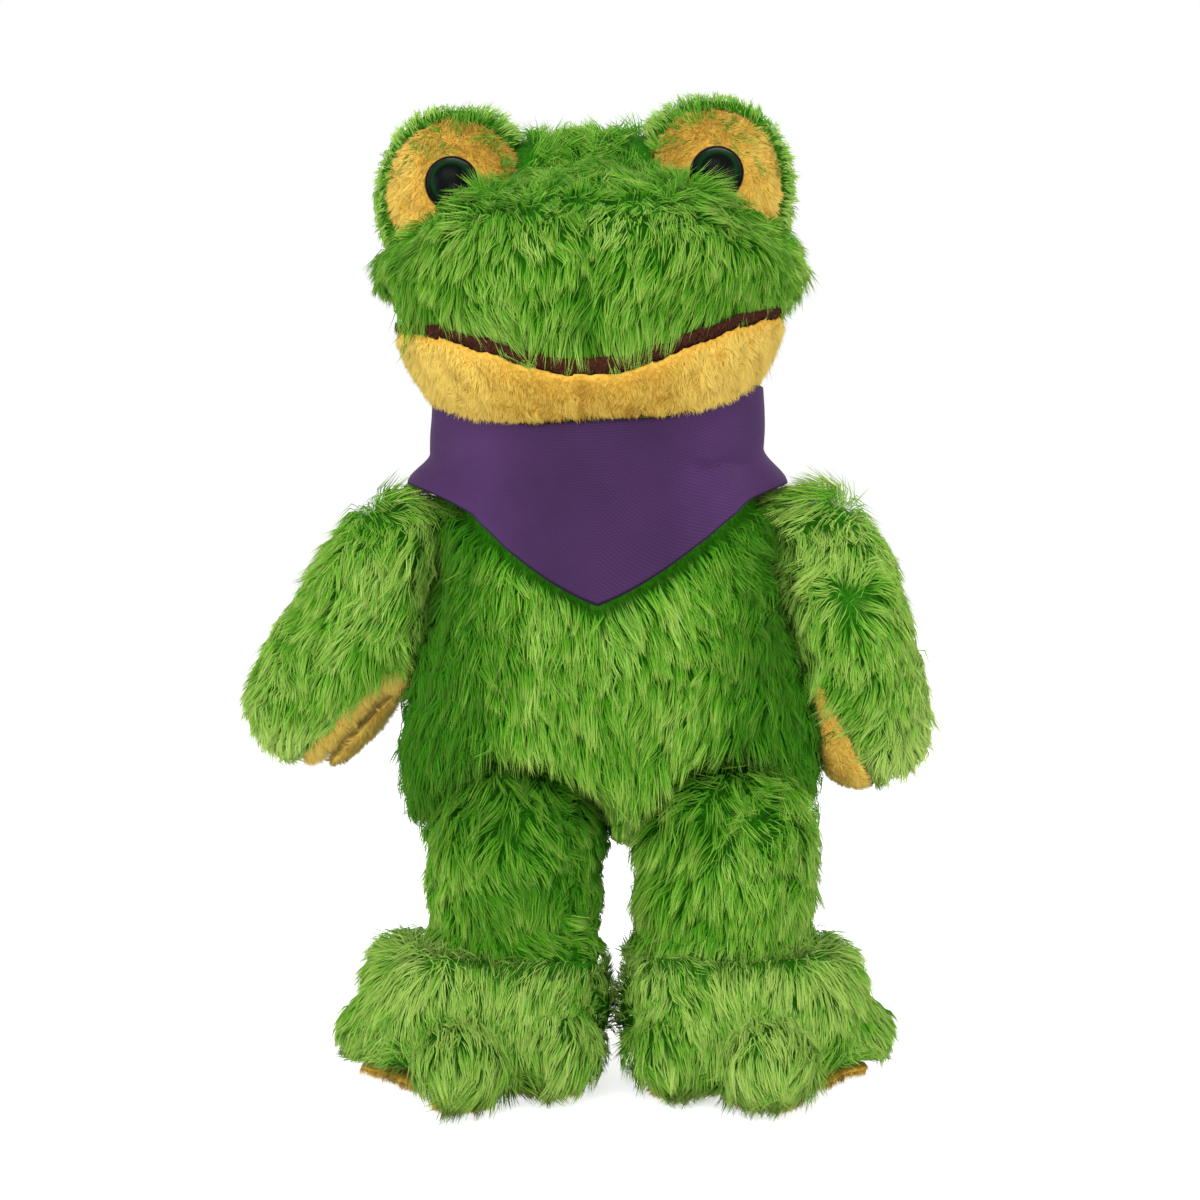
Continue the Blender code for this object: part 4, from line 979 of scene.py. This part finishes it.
# %% Faces of the eye mounds, palms and soles
PATCH_SHARE = 0.89  # of the mound's outline; the long green pile frames the rest
PATCH_COVERS = {}
PALM_LENGTHS = {1.0: 0.7, -1.0: 1.2}
# The palm pile is paler: painted light on a side that faces down
PALM_PAINTED_LIGHT = 0.42
for side, sign in SIGNS.items():
    eye_x, eye_y, eye_z = EYE_PLACES[side]

    def patch_pile(points, sign=sign, eye_x=eye_x, eye_z=eye_z):
        """Painted light on the outer side, and painted shade, browner, up towards the middle of the
        head.
        """
        outer = sign * (points[:, 0] - eye_x) / (26.0 * MM)
        upper = (points[:, 2] - eye_z) / (28.0 * MM)
        # Painted light on the outer side, painted shade towards the inner top
        shade = 0.34 * smooth_step(outer, 0.2, 0.9) - 0.34 * smooth_step(upper - outer, 0.1, 1.3)
        return 1.0, shade, DOWN, 1.0

    patch = short_piece(
        f"patch_{side}", [f"eye_patch_{side}"], "head", GOLD_FINISH, 9,
        ("head_skin", f"eye_mound_{side}"), voxel=1.6 * MM, comb_at=patch_pile,
        narrowed=((eye_x - sign * 2.0 * MM, 0.0, eye_z - 6.0 * MM), PATCH_SHARE),
    )
    PATCH_COVERS[side] = tree_of([patch.data])

    def palm_pile(_, sign=sign):
        """Brushed forward round the edge of the hand, where the photograph shows it as a strip."""
        return PALM_LENGTHS[sign], PALM_PAINTED_LIGHT, np.array((sign, -1.0, 0.0)), 1.0

    short_piece(
        f"palm_{side}", [f"palm_{side}"], f"arm_{side}", GOLD_FINISH, 10, (f"arm_skin_{side}",),
        inset=0.4 * MM, comb_at=palm_pile,
    )
    short_piece(
        f"sole_{side}", [f"sole_{side}"], f"foot_{side}", GOLD_FINISH, 11,
        (f"foot_skin_{side}",), inset=0.4 * MM, facing=DOWN,
    )


# %% [markdown]
# ## Green pieces
# The torso, head, eye mounds, arms, legs and feet are cut from the same long pile. Its strands
# lie over, so they stand only about a third of their length deep. Neighbouring strands cling
# together in wavy locks a few millimetres wide, and each lock is lit as one round tuft.

# %% Make a green piece
GREEN_INSET = 5.5 * MM
MOUND_INSET = 1.8 * MM  # the pile on the eye mounds is trimmed short and dense
MOUND_DENSITY = 1.5
GREEN_DENSITY = 0.91
GREEN_LOOK = {
    "settle": 0.22,
    "sag": 0.08,
    "stray": 0.14,
    "curl": 0.4 * MM,
    # How many strands share a lock, how hard it pulls, how its tone varies, how far it drifts
    # off its way and how round it is
    "locks": ((9, 0.60, 0.07, 1.3 * MM, 0.42), (60, 0.22, 0.08, 0.9 * MM, 0.12)),
    "frizz": 0.40 * MM,
    "width": 0.25 * MM,
    "roundness": 0.50,
    "bends": True,
}
HEAD_LOOK = {
    **GREEN_LOOK,
    "stray": 0.12,
    "locks": ((8, 0.54, 0.07, 1.0 * MM, 0.38), (60, 0.20, 0.08, 0.8 * MM, 0.12)),
    "width": 0.24 * MM,
}
MOUND_LOOK = {
    **GREEN_LOOK,
    "locks": ((7, 0.40, 0.06, 0.35 * MM, 0.30), (50, 0.15, 0.06, 0.3 * MM, 0.10)),
    "frizz": 0.25 * MM,
    "width": 0.21 * MM,
}
FOOT_LOOK = {
    **GREEN_LOOK,
    "stray": 0.10,
    "locks": ((9, 0.56, 0.07, 0.9 * MM, 0.38), (60, 0.20, 0.07, 0.5 * MM, 0.12)),
}
CLOTH_COVER = tree_of([bandana.data])


def uncovered(roots, ups, cover, reach=14.0 * MM):
    """Which roots have nothing over them."""
    pairs = zip(roots.tolist(), ups.tolist())
    return np.array([cover.ray_cast(root, up, reach)[0] is None for root, up in pairs], bool)


SHORT_REACH = 19.0 * MM
PALM_RIM = 11.0 * MM  # how far the gold pile wraps round the front of the hand
RIM_LENGTH = 6.5 * MM
# A cover hides a root from in front if it lies between 20 mm ahead of it and 4 mm behind it
AHEAD, HIDING_REACH = 20.0 * MM, 24.0 * MM
FRONT_FACING = 0.2


def beside(roots, tree, reach=SHORT_REACH):
    """How close each root is to a neighbour, from 1 on it to 0 at the reach, and the way off."""
    close = np.zeros(len(roots))
    away = np.zeros_like(roots)
    for index, root in enumerate(roots.tolist()):
        place, _, _, gap = tree.find_nearest(root, reach)
        if place is not None:
            close[index] = 1.0 - gap / reach
            away[index] = np.array(root) - np.array(place)
    return close, unit(away)


def green_piece(name, nodes, body, comb_at, seed, ignore=(), cover=CLOTH_COVER, short_by=(),
                inset=GREEN_INSET, density=GREEN_DENSITY, look=GREEN_LOOK, in_seams=(0.5, 0.65)):
    """A stuffed green skin and its pile, which is trimmed short beside some nodes."""
    rng = np.random.default_rng(seed)
    skin, openness = stuffed_skin(name, nodes, inset, ignore, voxel=3.0 * MM, smoothing=6)
    dress(skin, GREEN_BACKING, "green_pile", body, *nodes, fill=STUFFED)
    fewest, shortest = in_seams
    roots, ups, opens = scatter(skin, openness, density, rng, fewest)
    ahead = np.tile((0.0, -AHEAD, 0.0), (len(roots), 1))
    clear = uncovered(roots, ups, cover)
    clear &= uncovered(roots + ahead, -unit(ahead), cover, HIDING_REACH)
    roots, ups, opens = roots[clear], ups[clear], opens[clear]
    flow, length, lift, shade, sag = comb_at(roots)
    if short_by:
        close, away = beside(roots, solids_tree(short_by))
        length = length * (1.0 - 0.85 * close)
        flow = flow + away * close[:, None]
    comb = (flow, length * (shortest + (1.0 - shortest) * opens), lift, shade, sag)
    if short_by:
        kept = (close < 1.0 - PALM_RIM / SHORT_REACH) | (ups[:, 1] > FRONT_FACING)
        roots, ups = roots[kept], ups[kept]
        comb = tuple(values[kept] for values in comb)
    grow(f"{name}_pile", body, GREEN_PILE, "green_pile", roots, ups, comb, look, rng, cover)
    return skin


def palm_rim(skin, side):
    """Gold pile round the edge of the hand, where the photograph shows a strip of it."""
    rng = np.random.default_rng(13)
    roots, ups, _ = scatter(skin, np.ones(len(skin.data.vertices)), GOLD_DENSITY, rng)
    close, away = beside(roots, solids_tree((f"palm_{side}",)), PALM_RIM)
    rim = (close > 0.0) & (ups[:, 1] < FRONT_FACING)
    roots, ups, away = roots[rim], ups[rim], away[rim]
    ones = np.ones(len(roots))
    flow = DOWN * 0.3 - away * 0.6
    comb = (flow, RIM_LENGTH * ones, GOLD_LIFT * ones, PALM_PAINTED_LIGHT * ones, 0.0 * ones)
    grow(
        f"palm_{side}_rim", f"arm_{side}", GOLD_PILE, "gold_pile", roots, ups, comb, GOLD_LOOK, rng
    )


# %% Torso, head and eye mounds
green_piece("torso", ["torso_skin", "torso_stuffing"], "torso", torso_comb, 1)
green_piece(
    "head", ["head_skin", "head_stuffing"], "head", head_comb, 2, ("jaw_skin", "mouth_lining"),
    look=HEAD_LOOK, in_seams=(1.0, 0.9),
)
for side in SIGNS:
    mound_low, mound_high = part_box(f"eye_mound_{side}")
    comb = partial(mound_comb, middle=np.array((mound_low + mound_high) / 2))
    green_piece(
        f"mound_{side}", [f"eye_mound_{side}"], "head", comb, 3,
        (f"eye_patch_{side}", f"eye_dome_{side}", f"eye_stem_{side}"), PATCH_COVERS[side],
        inset=MOUND_INSET, density=MOUND_DENSITY, look=MOUND_LOOK,
    )


# %% Arms, legs and feet
STARS = {"l": (106.0 * MM, -25.0 * MM, 190.0 * MM), "r": (-105.0 * MM, 60.0 * MM, 180.0 * MM)}
# How far the inner, middle and outer toe reach, in half widths of the foot
TOE_REACH = ((-0.54, -0.95), (0.10, -1.45), (1.15, 0.00))
TOE_HEIGHT = FOOT_PILE = 8.0 * MM
JOINT_PLACES = {joint["name"]: joint["pos_m"] for joint in frame["joints"]}
for side, sign in SIGNS.items():
    arm_low, arm_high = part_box(f"arm_skin_{side}")
    shoulder = np.array((arm_low.x if sign > 0 else arm_high.x, 0.0, arm_high.z))
    hand = np.array((arm_high.x if sign > 0 else arm_low.x, 0.0, arm_low.z))
    comb = partial(arm_comb, axis=unit(hand - shoulder), sign=sign, star=STARS[side])
    arm = green_piece(
        f"arm_{side}", [f"arm_skin_{side}", f"arm_stuffing_{side}"], f"arm_{side}", comb, 4,
        (f"palm_{side}",), short_by=("palm_r",) if side == "r" else (),
    )
    if side == "r":
        palm_rim(arm, side)
    comb = partial(leg_comb, sign=sign, hip=JOINT_PLACES[f"hip_{side}"])
    green_piece(
        f"leg_{side}", [f"leg_skin_{side}", f"leg_stuffing_{side}"], f"leg_{side}", comb, 5
    )
    stuffing_low, stuffing_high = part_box(f"foot_stuffing_{side}")
    middle = (stuffing_low + stuffing_high) / 2
    half_width = (stuffing_high.x - stuffing_low.x) / 2 + FOOT_PILE
    toes = np.array([
        (middle.x + sign * across * half_width, middle.y + along * half_width, TOE_HEIGHT)
        for across, along in TOE_REACH
    ])
    comb = partial(foot_comb, ankle=np.array(JOINT_PLACES[f"ankle_{side}"]), toes=toes)
    green_piece(
        f"foot_{side}", [f"foot_skin_{side}", f"foot_stuffing_{side}"], f"foot_{side}", comb, 6,
        (f"sole_{side}",), look=FOOT_LOOK, in_seams=(0.3, 0.8),
    )


# %% [markdown]
# ## Neck
# Under the head lies the stuffed neck. It shows only behind the cloth, and its pile is short.

# %% Neck wad
def neck_comb(points):
    return combed(points, np.tile(DOWN, (len(points), 1)), 0.55)


green_piece("neck", ["neck_stuffing"], "neck", neck_comb, 12, inset=1.5 * MM)
print("triangles of pile in all:", sum(COUNTS.values()))


# %% [markdown]
# ## Safety eyes
# An eye is a black cup with a painted, polished dome in it. The dome's colour depends only on
# the distance from its middle, so one radial ramp on Object coordinates paints pupil and iris.

# %% Spin the cups and domes
EYE_STEPS = 56


def spun(name, profile, centre):
    """A solid turned about the axis that looks out of the face, from radius and depth pairs."""
    bm = bmesh.new()
    verts = [bm.verts.new((radius, depth, 0.0)) for radius, depth in profile]
    edges = [bm.edges.new(pair) for pair in zip(verts, verts[1:])]
    bmesh.ops.spin(
        bm, geom=verts + edges, cent=(0, 0, 0), axis=(0, 1, 0), angle=math.tau,
        steps=EYE_STEPS, use_merge=True,
    )
    bmesh.ops.remove_doubles(bm, verts=bm.verts, dist=WELD)
    bmesh.ops.recalc_face_normals(bm, faces=bm.faces)
    bmesh.ops.translate(bm, vec=centre, verts=bm.verts)
    return add_piece(name, mesh_of(bm, name))


EYE_STOPS = (  # the pupil, the iris and the dark rim
    (0.00, (0.004, 0.005, 0.005)), (0.60, (0.002, 0.003, 0.002)),
    (0.66, (0.001, 0.012, 0.003)), (0.76, (0.002, 0.028, 0.005)),
    (0.85, (0.001, 0.012, 0.002)), (0.91, (0.001, 0.002, 0.001)),
)


def eye_material(name, centre, radius):
    material, tree, shader = new_material(name, roughness=0.25, specular=0.035)
    inputs = {
        "Vector": output_of(tree, "TexCoord", output="Object"),
        "Location": (-centre[0] / radius, 0.0, -centre[2] / radius),
        "Scale": (1.0 / radius, 0.0, 1.0 / radius),
    }
    flat = output_of(tree, "Mapping", inputs)
    reach = output_of(tree, "VectorMath", {0: flat}, "Value", operation="LENGTH")
    tree.links.new(ramped(tree, reach, EYE_STOPS), shader["Base Color"])
    return material


CUP_MATERIAL = speckled(
    "black_eye_plastic", (0.004, 0.004, 0.004), (0.012, 0.012, 0.013), scale=900.0,
    roughness=0.25, specular=0.2,
)
WASHER_MATERIAL = speckled(
    "washer_plastic", (0.5, 0.5, 0.49), (0.62, 0.62, 0.6), scale=500.0, roughness=0.45
)
DOME_STEPS = 12
SHANK_RADIUS = 2.6 * MM

for side in SIGNS:
    low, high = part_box(f"eye_stem_{side}")
    radius = (high.x - low.x) / 2
    centre = Vector(EYE_PLACES[side])
    bulge = low.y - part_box(f"eye_dome_{side}")[0].y
    inner = radius * 0.93
    profile = []
    for step in range(DOME_STEPS + 1):
        angle = math.radians(90.0) * step / DOME_STEPS
        profile.append((inner * math.sin(angle), -bulge * math.cos(angle) + 0.6 * MM))
    profile += [(inner, 2.4 * MM), (0.0, 2.4 * MM)]
    dome = spun(f"eye_glaze_{side}", profile, centre)
    dome.data.shade_smooth()
    paint = eye_material(f"eye_paint_{side}", centre, inner)
    dress(dome, paint, "eye_clear", "head", f"eye_dome_{side}")
    depth = high.y - low.y
    profile = [
        (0.0, 2.5 * MM), (inner + 0.05 * MM, 2.5 * MM), (inner + 0.05 * MM, 0.35 * MM),
        (inner + 0.25 * MM, 0.0), (radius - 0.2 * MM, 0.1 * MM), (radius, 0.5 * MM),
        (radius, 3.0 * MM), (radius - 0.4 * MM, 3.3 * MM), (3.2 * MM, 3.3 * MM),
        (SHANK_RADIUS, 4.0 * MM), (SHANK_RADIUS, depth - 1.0 * MM), (1.6 * MM, depth),
        (0.0, depth),
    ]
    cup = spun(f"eye_cup_{side}", profile, centre)
    dress(cup, CUP_MATERIAL, "eye_black", "head", f"eye_stem_{side}")
    washer = frame["nodes"][f"eye_washer_{side}"]
    for place in washer.material_slots:
        place.material = WASHER_MATERIAL
    print("eye", side, "is", round(radius * 2 / MM, 1), "mm across at", centre)


# %% [markdown]
# ## Floor and light
# The floor is plain and pale, and the background is white to the camera and to reflections
# only. A large soft lamp stands in front and above, as in the photograph, with a weak fill below
# it, one lamp on each side and one above and behind.

# %% Floor
FLOOR_SIZE = 30.0
FLOOR_GREY = (0.82, 0.82, 0.82)
FLOOR_GLOW = 0.75  # seen by the camera only

floor_bm = bmesh.new()
bmesh.ops.create_grid(floor_bm, x_segments=1, y_segments=1, size=FLOOR_SIZE)
floor = add_piece("floor", mesh_of(floor_bm, "floor"))
floor_material = bpy.data.materials.new("floor_white")
floor_material.use_nodes = True
tree = floor_material.node_tree
tree.nodes.clear()
to_camera = output_of(tree, "LightPath", output="Is Camera Ray")
glow = output_of(tree, "Math", {0: to_camera, 1: FLOOR_GLOW}, operation="MULTIPLY")
parts = {
    0: output_of(tree, "BsdfDiffuse", {"Color": FLOOR_GREY}),
    1: output_of(tree, "Emission", {"Strength": glow}),
}
add_node(tree, "OutputMaterial", {"Surface": output_of(tree, "AddShader", parts)})
floor.data.materials.append(floor_material)


# %% World and lamps
SKY_STRENGTH = 0.55
WHITE = (1.0, 1.0, 1.0)

world = bpy.data.worlds.new("studio")
bpy.context.scene.world = world
world.use_nodes = True
tree = world.node_tree
tree.nodes.clear()
rays = add_node(tree, "LightPath").outputs
seen = rays["Is Camera Ray"]
for kind in ("Is Glossy Ray", "Is Transmission Ray"):
    seen = output_of(tree, "Math", {0: seen, 1: rays[kind]}, operation="MAXIMUM")
sky = output_of(tree, "Background", {"Color": WHITE, "Strength": SKY_STRENGTH})
white = output_of(tree, "Background", {"Color": WHITE, "Strength": 1.0})
backdrop = output_of(tree, "MixShader", {"Fac": seen, 1: sky, 2: white})
add_node(tree, "OutputWorld", {"Surface": backdrop})


def lamp(name, place, size, energy, target=(0.0, 0.0, 0.2)):
    data = bpy.data.lights.new(name, "AREA")
    data.shape = "RECTANGLE"
    data.size, data.size_y = size
    data.energy = energy
    obj = add_piece(name, data)
    obj.location = place
    away = Vector(place) - Vector(target)
    obj.rotation_euler = away.to_track_quat("Z", "Y").to_euler()


lamp("key", (-0.4, -1.7, 1.4), (1.4, 1.0), 20.0)
lamp("fill", (0.05, -1.7, 0.12), (0.6, 0.3), 7.0)
lamp("left", (-1.6, -1.0, 0.5), (0.9, 1.2), 13.0)
lamp("right", (1.6, -1.0, 0.5), (0.9, 1.2), 13.0)
lamp("top", (0.2, 0.6, 1.9), (1.2, 1.2), 12.0)
